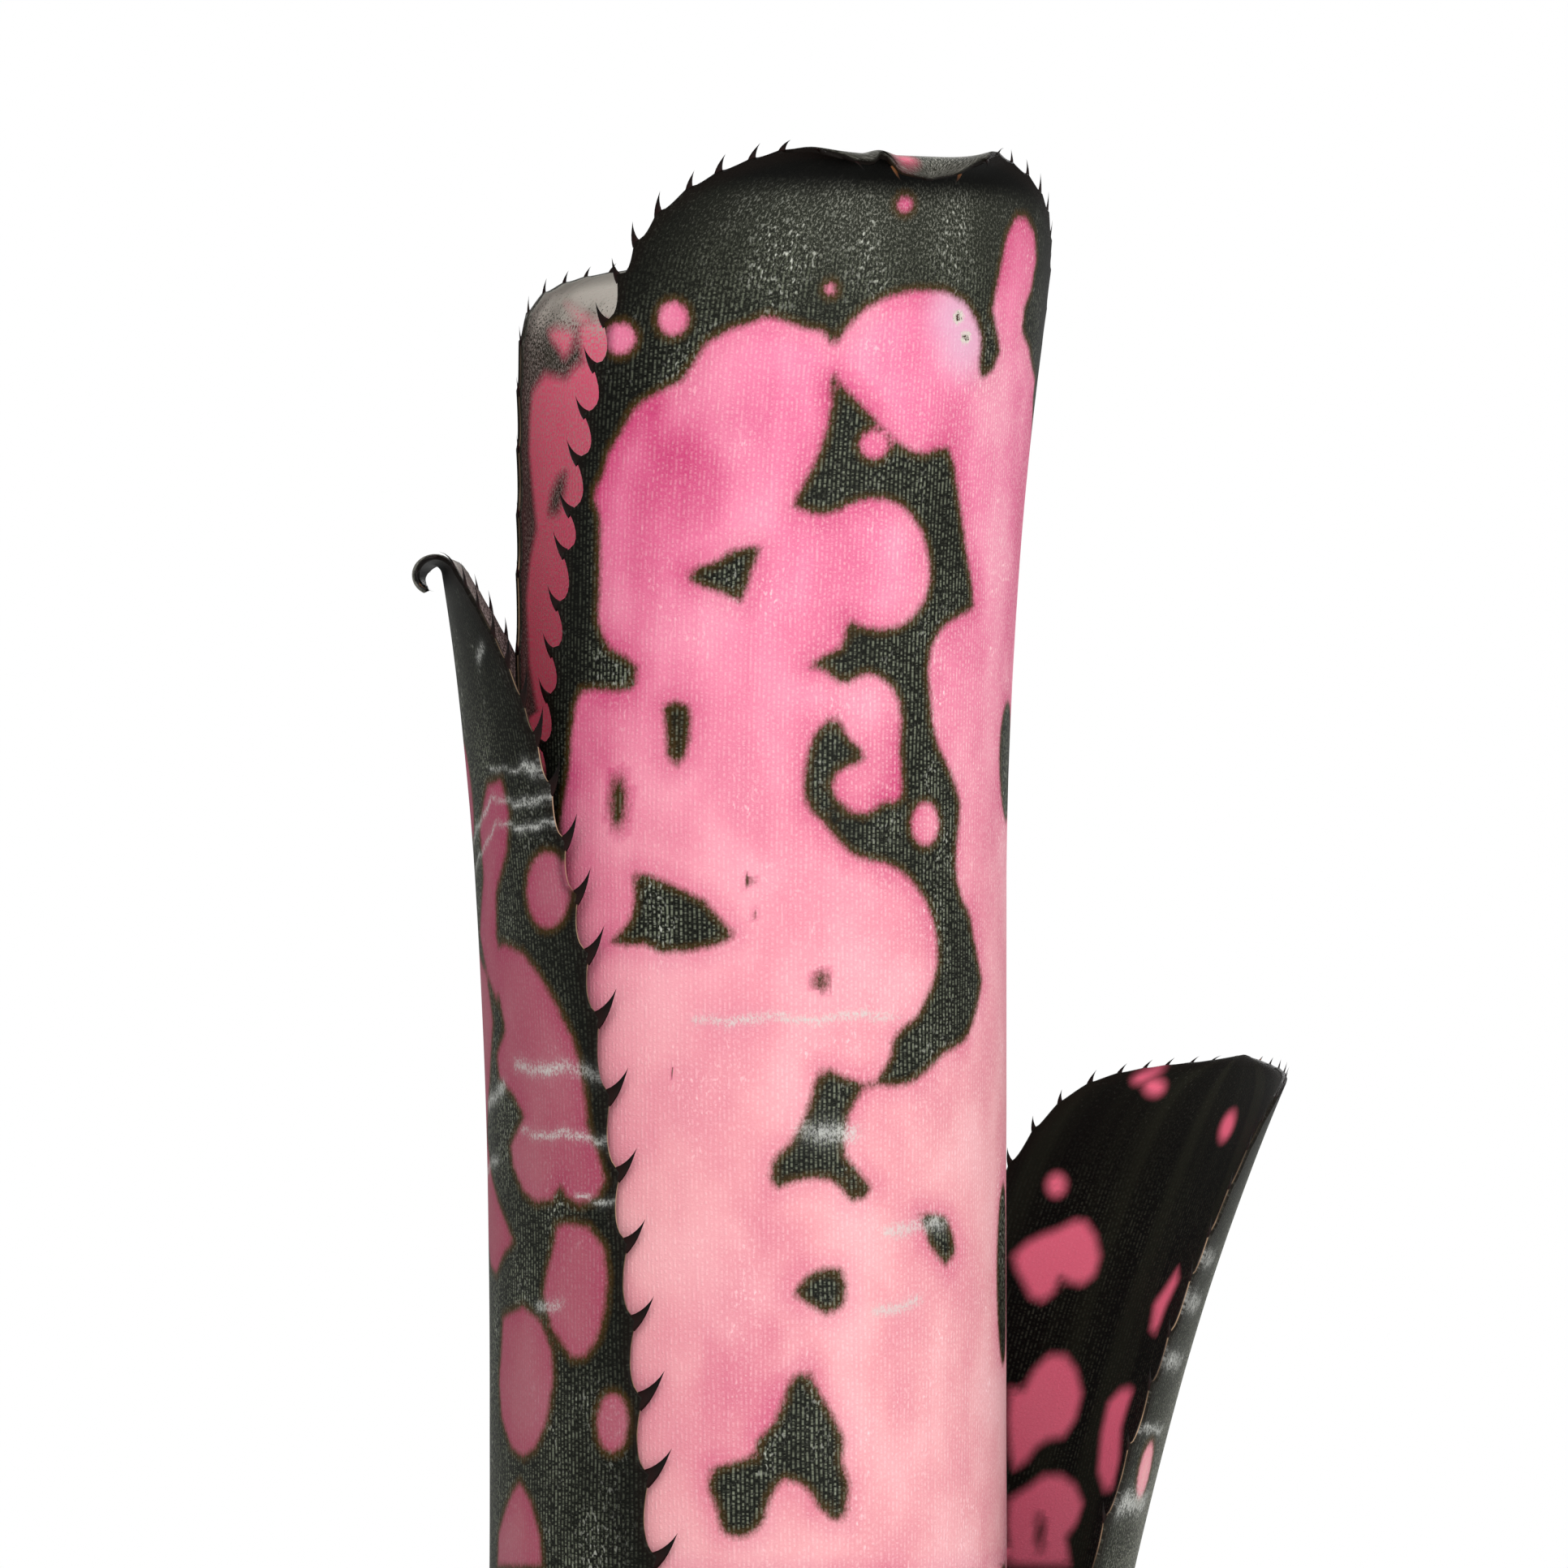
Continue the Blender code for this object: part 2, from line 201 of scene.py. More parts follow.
HAND_MARKS = {
    "main_leaf": Marks(
        window=(-60, 45, 186.5),
        pink=(
            ((-7.8, 337.6), (-9.1, 339.2), (-11.6, 339.6), (-14.1, 340.4), (-16.1, 340.9),
            (-17.9, 340), (-20.3, 339.2), (-23, 337.6), (-24.6, 335), (-25.9, 333.1),
            (-29.7, 331.2), (-31.7, 329.8), (-33.2, 327.2), (-35, 324.4), (-35.6, 322),
            (-36.6, 320.5), (-36.8, 319.2), (-35.8, 316.8), (-35.7, 312.8), (-35.6, 308.1),
            (-35.8, 305.2), (-35.1, 303.3), (-33.9, 301.4), (-31.6, 300.4), (-30.1, 299.2),
            (-30.3, 297), (-32.6, 296.6), (-35.6, 296.8), (-38.1, 296.6), (-39.1, 294.8),
            (-39.8, 290.8), (-40.1, 286.9), (-40.9, 284), (-41.5, 281.2), (-41.5, 272.4),
            (-41.5, 252.8), (-40, 233.4), (-37.3, 214), (-36, 191.6), (44, 189.2), (42, 252.4),
            (40, 292), (38, 311.6), (36, 325.2), (31.5, 332.4), (31.6, 334.4), (28.6, 336),
            (26.3, 338.1), (23.3, 340), (23.1, 342.8), (24.7, 344.8), (25.4, 348.6),
            (23.8, 351.6), (20.7, 353.6), (18.4, 353.6), (16.7, 351.2), (16, 347.2),
            (15.1, 342.4), (16, 340.6), (17.6, 337.6), (16.2, 335.2), (14.3, 334.4),
            (13.7, 335.6), (13.8, 338.6), (12.6, 340.9), (10.2, 343.2), (6.7, 344.4),
            (2.5, 344.4), (-1.3, 343.6), (-4.3, 342), (-6.2, 340)),
        ),
        dark=(
            ((-23.5, 310.3), (-22.4, 311), (-20.1, 311.7), (-18.7, 312.8), (-17, 313.3),
            (-15.4, 313.4), (-16.2, 311.1), (-16.8, 308.7), (-17.4, 307.2), (-19, 308.1),
            (-21.5, 308.9), (-23, 309.5)),
            ((-26.1, 294.7), (-24.6, 295.1), (-23.2, 294.5), (-23.1, 291.8), (-23.6, 288.9),
            (-24.7, 287.7), (-25.5, 288.9), (-25.8, 291.8)),
            ((-29.9, 274.6), (-27.9, 274.4), (-23.8, 272.8), (-21, 271.4), (-18.8, 268.8),
            (-17.6, 267.7), (-19.1, 266.6), (-22.8, 265.8), (-26.4, 265.6), (-28.5, 266.5),
            (-31.2, 266.4), (-32.9, 266.7), (-31.2, 268.1), (-30.1, 269.6), (-29.7, 272)),
            ((-7.5, 333.9), (-6.7, 332.8), (-5, 331.3), (-3.9, 330.3), (-2.3, 329), (-1.1, 327.6),
            (0, 326.9), (1.8, 325.7), (3.6, 325), (5.4, 324.8), (7.3, 325.4), (9, 325.5),
            (10.1, 323.6), (10.8, 321.2), (12.1, 317.2), (13.2, 313.4), (14.7, 309.6),
            (15.3, 306.8), (13, 306), (10, 304.8), (8.3, 303.2), (7.4, 301.2), (7.2, 298.8),
            (7.7, 295.8), (8.1, 292.8), (9.2, 290), (10.7, 288), (12.3, 285.6), (13.5, 283.2),
            (13.2, 280.2), (12.7, 277.2), (12.9, 273.9), (14.1, 271.4), (15.9, 269.4),
            (16.9, 266.4), (17.9, 264), (18.8, 261.6), (17.9, 259.2), (16.5, 256.7), (15, 254.8),
            (12.4, 253.8), (10.2, 253.1), (8.1, 251.5), (5.5, 250), (3.6, 249.5), (1.9, 249.6),
            (0.2, 249.7), (1.3, 251.3), (2.5, 253.1), (2.5, 254.5), (3.8, 256.1), (6.1, 257.4),
            (7.4, 259.2), (8.7, 261.2), (9.6, 263.6), (9.6, 266.5), (9, 269), (7.7, 271.5),
            (5.8, 273.6), (3.8, 275.2), (1.3, 276.2), (-1.5, 276.7), (-3.1, 277.3), (-5.2, 279.3),
            (-6.7, 281.1), (-8.2, 282.4), (-9, 284.1), (-9, 286.5), (-8.5, 289.5), (-7.8, 291.4),
            (-6.6, 292.7), (-5.6, 293.4), (-4.8, 292.4), (-3.8, 290.8), (-2.2, 289.5),
            (-1.8, 288.8), (-3, 287.9), (-4.4, 287.6), (-5.5, 286.5), (-5.9, 285.2),
            (-5.2, 283.6), (-3.7, 282.2), (-1.5, 281.7), (0.1, 282.4), (0.7, 283.2), (2.9, 283.2),
            (3.9, 284.1), (3.7, 287.1), (3.4, 290), (3.6, 292.8), (3.3, 295.2), (2.1, 297.2),
            (0.3, 298.4), (-1.5, 298.9), (-2.9, 298.4), (-4.3, 297.5), (-5.5, 298.1), (-6.5, 299),
            (-8.5, 299.6), (-6.6, 300.8), (-4.8, 301.6), (-4.4, 303), (-4.1, 304.8), (-2, 304),
            (0.2, 303.7), (2.4, 304), (4.4, 305), (5.9, 306.4), (6.9, 308), (7.4, 310.4),
            (6.8, 313.2), (5.8, 315.6), (4.1, 317.6), (2.2, 319), (-0.1, 319.6), (-2.2, 319.6),
            (-4.3, 319.1), (-6.3, 318), (-8.3, 317.6), (-10, 318), (-11.3, 318.6), (-10.8, 320),
            (-9.7, 322.1), (-8.6, 324.6), (-7.8, 327.5), (-7.4, 330.4), (-7.6, 332.3)),
            ((-6.6, 251.6), (-5.1, 250.8), (-3, 250), (-1.6, 249.5), (-2.5, 248.1), (-3.6, 246.4),
            (-4.3, 243.6), (-4.1, 241.1), (-2.5, 239.2), (-0.8, 237.4), (-1.4, 236.2),
            (-3.1, 236), (-4.1, 237.2), (-5.6, 238.5), (-8.2, 238.8), (-10.6, 238.3),
            (-12.5, 237.5), (-12.9, 238.8), (-12.6, 240.7), (-10.6, 242.6), (-9.1, 245),
            (-8.1, 247.9), (-7.4, 250.4)),
            ((-9.6, 225.7), (-8.1, 227.2), (-6.1, 227.6), (-4.6, 227.5), (-4.1, 225.6),
            (-4.2, 223.6), (-6, 222.4), (-7.7, 223.2), (-9.3, 224.3), (-10.1, 224.8)),
            ((6.7, 233.8), (8.7, 233.6), (10.9, 233.2), (12, 231.3), (12.6, 229.3), (11.3, 227.5),
            (9.4, 229), (8.1, 230.5), (7.4, 232.4)),
            ((-10.6, 214.6), (-8.6, 215.6), (-7.7, 213.6), (-6.3, 211.2), (-5.2, 209.2),
            (-4.3, 207.2), (-4.6, 204.8), (-3.6, 201.9), (-3.9, 200), (-4.1, 197.8), (-5.6, 198),
            (-7.2, 199.6), (-8.1, 201.2), (-9.6, 202.5), (-11.6, 203), (-12.6, 202),
            (-13.5, 200.1), (-14.2, 197.7), (-15.5, 196.3), (-17.4, 196), (-18.8, 196.8),
            (-19.3, 199.2), (-20.3, 201.6), (-20.1, 203.8), (-17.9, 204.5), (-16.4, 205),
            (-14.8, 205.2), (-14.5, 207.4), (-12.6, 209.3), (-11.3, 212.2)),
        ),
        pink_spots=(
            (-1.8, 325.9, 2.1, 1.9, -9), (7.4, 280.7, 2.4, 2.8, 3), (-27.3, 340.2, 2, 2.2, 23),
            (-34, 337.8, 2.3, 2, -9), (-0.2, 354.2, 1.2, 1.1, -17), (-8.7, 344, 0.8, 0.9, 23),
            (-30, 188, 7, 8, 0), (-13, 184, 8, 9, 10), (5, 186, 9, 7, 0), (21, 182, 8, 10, -8),
            (37, 186, 8, 9, 0), (45, 254, 7, 10, 0), (44, 292, 6, 9, 12), (46, 229, 6, 7, 0),
            (40, 310, 5, 7, 20), (-2.4, 361.6, 1.1, 0.8, 0),
        ),
        dark_spots=(
            (29.2, 288.2, 4.4, 7.2, 11), (27.7, 225.5, 3.4, 10.9, 0),
            (46.5, 270.5, 5.5, 7.5, -20), (47, 214, 6, 9, 15), (45.5, 240, 4, 5, 0),
        ),
        stains=(
            (-32.3, 283.3, 1.3, 3.3, 1), (-6.9, 262, 1.1, 1.3, 2), (-14.6, 269.9, 0.5, 0.6, -2),
            (-25, 251.1, 0.4, 0.9, 0), (-15.8, 274.1, 0.7, 0.9, 0),
        ),
        bands=(
            (-22, 257.4, 2.5, 257.8, 0.9), (2, 232.2, 10, 232.6, 1.3), (0, 222.6, 6, 223.4, 1.0),
            (-9, 244.5, -3, 243.5, 1.6),
        ),
        scars=((9.2, 341.3), (10.7, 338.9),),
        flushes=(
            (-28, 327, 13, 11, 0.6), (-37, 284, 6, 17, 0.5), (-16, 220, 9, 13, 0.35),
            (-31, 305, 7, 7, 0.35), (16, 330, 7, 6, 0.25), (3, 287, 4, 8, 0.35), (30, 312, 6, 16, 0.3),
        ),
    ),
    "left_leaf": Marks(
        window=(-2, 45, 186),
        pink=(
            ((16.9, 266.1), (21.8, 264.8), (24.9, 262.2), (27.6, 258.8), (30.1, 254.8),
            (31.2, 251.6), (31.9, 247.7), (32.2, 244), (33.6, 241.2), (34.6, 237.7),
            (33.2, 235.6), (30.6, 234.8), (28.3, 235.6), (27.4, 236.9), (25.8, 235.2),
            (22.6, 234.8), (19.9, 236), (17.3, 238.8), (16.5, 241.6), (20.3, 245.2),
            (17.8, 247.6), (13.6, 249.6), (12.9, 252.4), (16.1, 255.5), (14.7, 259.2),
            (12.1, 262.4), (10.5, 264.4)),
            ((15.5, 285.2), (19.7, 285.7), (20.9, 281.6), (19.6, 276.8), (15.8, 272), (15, 267.2),
            (16, 263.2), (13.8, 258.8), (10.1, 262.4), (6.7, 267.2), (11.3, 274), (11.2, 280)),
            ((3.4, 265.2), (10.1, 262.4), (12.1, 256.4), (9.2, 249.2), (5.5, 242.4), (9, 237.6),
            (14.5, 232.8), (17.4, 230), (14.4, 228.4), (11, 225.6), (7, 226.4), (0.5, 234),
            (-3.5, 243), (-4, 252), (-2.5, 260), (0.5, 264)),
            ((26.5, 232.4), (28.6, 232.8), (31.9, 232.4), (34.2, 230.1), (34.8, 226.8),
            (34.4, 222.9), (33.3, 219.1), (31.3, 216.8), (29.1, 216.4), (27.1, 218.4),
            (25.6, 219.6), (23.8, 223.6), (24.4, 226.4), (25.7, 229.4)),
            ((13.4, 220.8), (19.6, 222.4), (23.3, 221), (25.6, 217.6), (26, 214), (24.7, 208.8),
            (22.3, 205.3), (19.5, 204), (16.2, 204.8), (12.7, 208.4), (11.7, 212.8),
            (12.8, 216.8)),
            ((13.9, 197.2), (16.7, 200), (18.6, 201.2), (21.4, 198.8), (23.2, 195.2),
            (23.8, 191.2), (10.8, 190), (11.2, 194)),
        ),
        pink_spots=(
            (27.2, 272, 4, 4.7, -17), (35.2, 209.2, 2.4, 3.7, -3), (5.5, 284.7, 3.1, 6, 7),
        ),
        bands=(
            (4, 277, 17, 283.5, 0.6), (5, 274, 18, 280.5, 0.5), (17, 283, 31, 282.5, 0.7),
            (18, 280, 31, 279.5, 0.6), (17, 286.5, 29, 287, 0.5), (19, 251.2, 33.5, 250.6, 1.2),
            (20, 243.4, 40, 242.4, 0.8), (8, 246, 15, 249, 1.2), (3, 237, 12, 240, 1.0),
            (23, 222.8, 27, 222.8, 1.0), (30, 236, 42, 234.5, 0.5), (25, 287, 30, 284.5, 1.0),
            (17, 300, 18.5, 301.5, 0.8),
        ),
    ),
    "right_leaf": Marks(
        window=(-34, 26, 186),
        pink=(
            ((24, 224.8), (22.8, 226.9), (21, 228.4), (19.1, 229.6), (17.3, 231.2), (15.5, 231.4),
            (13.4, 229.9), (11.6, 227.4), (11.4, 224.8), (12.9, 223.2), (14.9, 223.2),
            (16.6, 223.6), (16.7, 221.5), (18, 220), (19.9, 220.2), (21.7, 222), (23, 223.2)),
            ((19, 208.3), (17, 208.4), (16.3, 211.2), (14.7, 213.6), (12.2, 214), (9.7, 212.4),
            (7.6, 209.5), (7.5, 206.2), (8.7, 203.6), (11.2, 202.9), (12.8, 201.6), (13.7, 199.6),
            (15.3, 198.3), (16.6, 200.4), (18.1, 204.4)),
            ((15, 194.4), (12.5, 196.4), (10.5, 198.3), (7.6, 198.8), (4.5, 197.8), (2.1, 195.6),
            (2.5, 192.8), (4.1, 191.2), (1.8, 187.6), (12.3, 186.3), (14.4, 191.2)),
            ((-4.3, 227.2), (-2.7, 224.4), (-1.3, 222.4), (-2.2, 219.1), (-4.2, 218.4),
            (-4.6, 222), (-5.8, 225.6)),
            ((-1.1, 211.2), (-2.6, 210.8), (-2.3, 208.4), (-2.2, 206), (-3.8, 202), (-4.1, 198),
            (-1.8, 197.6), (0.7, 200), (2, 204.8), (2.3, 208.9), (0.6, 210.8)),
        ),
        pink_spots=(
            (21.5, 235, 1.3, 1.6, -39), (14.8, 252.2, 2.4, 1.1, -39), (13, 250.5, 1.7, 1.2, 7),
            (-3.8, 246.6, 1.7, 2.2, -23), (-31.1, 199.1, 2.4, 3.7, 5),
        ),
        stains=(
            (8.8, 191, 1.1, 2.7, -18),
        ),
        bands=(
            (-36, 224.5, -28, 226.5, 1.6), (-36, 219, -28, 221, 1.8), (-36, 211.5, -28, 213.5, 1.6),
            (-36, 194, -28, 196, 2.0), (-36, 203, -28, 205, 0.8),
        ),
    ),
    "back_leaf": Marks(
        window=(20, 44, 292),
        pink=(
            ((37.3, 333.8), (33.4, 336.4), (28.5, 336.1), (26.9, 337.6), (25.1, 338.4),
            (25.6, 340), (26.1, 342.8), (25, 343.4), (21.8, 344), (18.6, 343.4), (16, 339.6),
            (15.4, 333), (18.5, 327), (15.5, 319), (14.2, 311), (17.5, 304), (15.6, 297),
            (20, 291), (28, 289.5), (35, 292.5), (39, 300.4), (40.2, 308.3), (38.6, 313.2),
            (36.2, 317.2), (37.6, 322.4), (38.6, 326.4), (38.2, 330.4)),
            ((32.5, 341.6), (30.2, 342.4), (27.7, 342.4), (26.6, 341.6), (27.5, 339.6),
            (28.9, 338.4), (30.2, 339.6), (31.7, 340.5)),
            ((28.5, 345.3), (26.1, 345.2), (23.9, 344.2), (23.2, 343.2), (25.4, 342.8),
            (27.2, 343.7)),
        ),
        dark=(
            ((28.6, 324.4), (30.4, 323.6), (31.9, 321.6), (32.7, 319.1), (30.4, 319.2),
            (29, 322)),
        ),
        bands=(
            (22, 349, 40, 344, 3.0), (32, 318, 38, 312, 1.6),
        ),
    ),
}


def smooth(value):
    """Smoothstep from 0 to 1."""
    value = np.clip(value, 0.0, 1.0)
    return value * value * (3.0 - 2.0 * value)


def mix(start, end, share):
    return start + (end - start) * share


def curl_start(leaf):
    return leaf.length - leaf.curl_length


def outer_radii(leaf):
    """Radius of the outer face at the cut and in the tube."""
    base = BASE_RADIUS + leaf.layer * (SHEATH_THICKNESS + BASE_GAP)
    tube = TUBE_RADIUS + leaf.layer * (BLADE_THICKNESS + TUBE_GAP)
    return base, leaf.roll_radius or tube


def outer_radius(leaf, along):
    """Radius of the outer face round the leaf's own centre line."""
    base, tube = outer_radii(leaf)
    reach = curl_start(leaf) - leaf.flare_height
    opened = np.clip((along - leaf.flare_height) / reach, 0.0, 1.0) if leaf.flare else 0.0
    return mix(base, tube, smooth(along / SWELL_HEIGHT)) + leaf.flare * opened ** 2


def half_width(leaf, along):
    """Half the width of the flattened leaf: a round shoulder, then a slow widening."""
    depth = np.maximum(leaf.length - along, 0.0)
    shoulder = leaf.shoulder * (1.0 - np.exp(-(depth / leaf.shoulder_depth) ** leaf.roundness))
    width = np.maximum(shoulder + leaf.taper * depth, 1e-6)
    limit = WRAP_LIMIT * outer_radius(leaf, along)
    return (width ** -8 + limit ** -8) ** (-1.0 / 8.0)


def thickness(leaf, across, along):
    """Thick at the cut, even in the blade and thinner along the edges."""
    middle = mix(SHEATH_THICKNESS, BLADE_THICKNESS, smooth(along / SWELL_HEIGHT))
    share = np.clip(np.abs(across) / half_width(leaf, along), 0.0, 1.0)
    return middle * mix(1.0, EDGE_SHARE, share ** 6)


def leaf_foot(leaf):
    """Height at which a leaf starts: at the cut, or where it meets the narrowing stem."""
    low, high = 0.0, STEM_HEIGHT
    if outer_radius(leaf, 0.0) - SHEATH_THICKNESS >= STEM_RADIUS:
        return 0.0
    for _ in range(40):
        middle = (low + high) / 2
        inside = outer_radius(leaf, middle) - thickness(leaf, 0.0, middle)
        if inside - SEAT_GAP < STEM_RADIUS - STEM_TAPER * middle:
            low = middle
        else:
            high = middle
    return high


def edge_table(leaf, foot):
    """Distances down the edge from the tip, with the height along the leaf at each."""
    steps = np.linspace(0.0, 1.0, 1200) ** 3
    along = leaf.length - steps * (leaf.length - foot)
    lengths = np.hypot(np.diff(half_width(leaf, along)), np.diff(along))
    return np.concatenate([[0.0], np.cumsum(lengths)]), along


def edge_outward(leaf, table, distances):
    """Flat outward directions of the right edge at these distances from the tip."""
    step = 0.4 * MM
    upper = np.interp(np.maximum(distances - step, 0.0), *table)
    lower = np.interp(distances + step, *table)
    to_tip = np.stack([half_width(leaf, upper) - half_width(leaf, lower), upper - lower], 1)
    to_tip /= np.linalg.norm(to_tip, axis=1)[:, None]
    return np.stack([to_tip[:, 1], -to_tip[:, 0]], 1)


def spine_places(leaf, table, lowest, random):
    """Distances from the tip of the spines down one edge, and how far each is grown."""
    places = []
    distance = leaf.spine_pitch[0]
    while float(np.interp(distance, *table)) > lowest:
        places.append((distance, 1.0 - math.exp(-distance / SPINE_RISE)))
        pitch = mix(*leaf.spine_pitch, float(smooth(distance / SPINE_GROWTH)))
        distance += pitch * (1.0 + SPINE_JITTER * random.uniform(-1.0, 1.0))
    return np.array(places)


def scallop(distances, places, depth):
    """How far the edge draws back between spines, deepest just above the lower one."""
    upper = np.searchsorted(places[:, 0], distances, side="right") - 1
    between = (upper >= 0) & (upper < len(places) - 1)
    upper = np.clip(upper, 0, len(places) - 2)
    start, end = places[upper, 0], places[upper + 1, 0]
    share = np.clip((distances - start) / (end - start), 0.0, 1.0)
    shape = 2.39 * share ** 0.9 * (1.0 - share) ** 0.45
    depth = depth * mix(0.12, 1.0, smooth((distances - 20 * MM) / (45 * MM)))
    return np.where(between, depth * shape, 0.0)


def row_distances(leaf, table):
    """Distances down the edge of the rows of points: close at the tip, wide below the spines."""
    lowest = min(leaf.spines_from) - 10 * MM
    distances = [0.6 * MM]
    while distances[-1] < table[0][-1]:
        at = distances[-1]
        step = mix(0.5 * MM, leaf.cell, float(smooth(at / (45 * MM))))
        if float(np.interp(at, *table)) < lowest:
            step = 2.2 * MM
        distances.append(at + step)
    distances[-1] = table[0][-1]
    return np.array(distances)[::-1]


def oval_distance(across, along, oval):
    """Distance inside an oval in millimetres, negative outside, and 1 at most of its size."""
    middle_across, middle_along, half_across, half_along, turn = oval
    cosine, sine = math.cos(math.radians(turn)), math.sin(math.radians(turn))
    x, y = across - middle_across, along - middle_along
    x, y = x * cosine + y * sine, y * cosine - x * sine
    reach = np.hypot(x / half_across, y / half_along)
    slope = np.hypot(x / half_across ** 2, y / half_along ** 2) / np.maximum(reach, 1e-3)
    inside = (1.0 - reach) / np.maximum(slope, 1e-3)
    return np.minimum(inside, min(half_across, half_along))


def outline_distance(across, along, outline):
    """Distance inside a closed outline in millimetres, negative outside."""
    nearest = np.full(across.shape, np.inf)
    inside = np.zeros(across.shape, bool)
    for (ax, ay), (bx, by) in zip(outline, outline[1:] + outline[:1]):
        run, rise = bx - ax, by - ay
        share = ((across - ax) * run + (along - ay) * rise) / (run * run + rise * rise)
        share = np.clip(share, 0.0, 1.0)
        gap = np.hypot(across - ax - share * run, along - ay - share * rise)
        nearest = np.minimum(nearest, gap)
        if ay != by:
            crossing = (ay > along) != (by > along)
            inside ^= crossing & (across < ax + (along - ay) * run / rise)
    return np.where(inside, nearest, -nearest)


def line_distance(across, along, band):
    """Distance to a line between two points in half widths of its band."""
    ax, ay, bx, by, half = band
    run, rise = bx - ax, by - ay
    share = ((across - ax) * run + (along - ay) * rise) / (run * run + rise * rise)
    share = np.clip(share, 0.0, 1.0)
    return np.hypot(across - ax - share * run, along - ay - share * rise) / half


def join_smooth(first, second, reach=0.8):
    """The larger of two fields, rounded where they meet."""
    blend = np.clip(0.5 + 0.5 * (first - second) / reach, 0.0, 1.0)
    return mix(second, first, blend) + reach * blend * (1.0 - blend)


def wild_ovals(leaf):
    """Ovals for the parts of a leaf that no drawn marking covers."""
    random = np.random.default_rng(leaf.seed + 100)
    blotched = leaf.slot == BLOTCHED
    pitch = (13.0, 15.0) if blotched else (13.0, 17.0)
    ovals = []
    top = leaf.length / MM - (24.0 if blotched else 10.0)
    for along in np.arange(8.0, top, pitch[1]):
        for across in np.arange(-66.0, 66.1, pitch[0]):
            place = random.uniform(-4.5, 4.5, 2)
            size = random.uniform(5.5, 8.5, 2) if blotched else random.uniform(1.6, 4.6, 2)
            turn = random.uniform(-25.0, 25.0)
            chance = random.uniform()
            if chance < (0.86 if blotched else 0.5):
                ovals.append((across + place[0], along + place[1], size[0], size[1] * 1.35, turn))
    return ovals


def wild_bands(leaf):
    """Bands of scales across the outer face of a spotted leaf, below the drawn ones."""
    if leaf.slot != SPOTTED:
        return []
    random = np.random.default_rng(leaf.seed + 200)
    marks = HAND_MARKS.get(leaf.name)
    top = marks.window[2] - 4.0 if marks else leaf.length / MM - 8.0
    bands = []
    for along in np.arange(25.0, top, 8.5):
        across = random.uniform(-55.0, 45.0)
        reach, rise, half = random.uniform(9.0, 26.0), random.uniform(-1.5, 1.5), random.uniform(0.5, 1.3)
        bands.append((across, along, across + reach, along + rise, half))
    return bands


def blotch_field(leaf, across, along):
    """Distance inside the pink of a leaf in millimetres, at each point of it."""
    field = np.full(across.shape, -6.0)
    for oval in wild_ovals(leaf):
        field = join_smooth(field, np.maximum(oval_distance(across, along, oval), -6.0), 1.2)
    edge_gap = half_width(leaf, along * MM) / MM - np.abs(across)
    field = np.minimum(field, edge_gap - 4.0)
    marks = HAND_MARKS.get(leaf.name)
    if marks is None:
        return np.clip(field, -6.0, 12.0)

    left, right, lowest = marks.window
    covered = np.minimum(np.minimum(across - left, right - across), along - lowest)
    covered = covered + 1.5 * np.sin(along * 0.31 + across * 0.23)
    field = np.minimum(field, 3.0 - 3.0 * covered)
    drawn = np.full(across.shape, -6.0)
    for outline in marks.pink:
        drawn = np.maximum(drawn, outline_distance(across, along, outline))
    for outline in marks.dark:
        drawn = np.minimum(drawn, -outline_distance(across, along, outline))
    for oval in marks.dark_spots:
        drawn = np.minimum(drawn, -oval_distance(across, along, oval))
    for oval in marks.pink_spots:
        drawn = np.maximum(drawn, oval_distance(across, along, oval))
    for oval in marks.stains:
        depth = oval_distance(across, along, oval) / min(oval[2], oval[3])
        drawn = np.where(depth > -1.0, np.minimum(drawn, 0.35 - 0.75 * depth), drawn)
    return np.clip(join_smooth(field, drawn), -6.0, 12.0)


def vein_places(leaf, across, along):
    """Sideways place of each point among the veins, which run together towards the tip."""
    depth = np.maximum(leaf.length - along, 0.0)
    full = leaf.shoulder + leaf.taper * depth
    return across * (full / half_width(leaf, along)).clip(1.0, None) ** 0.7


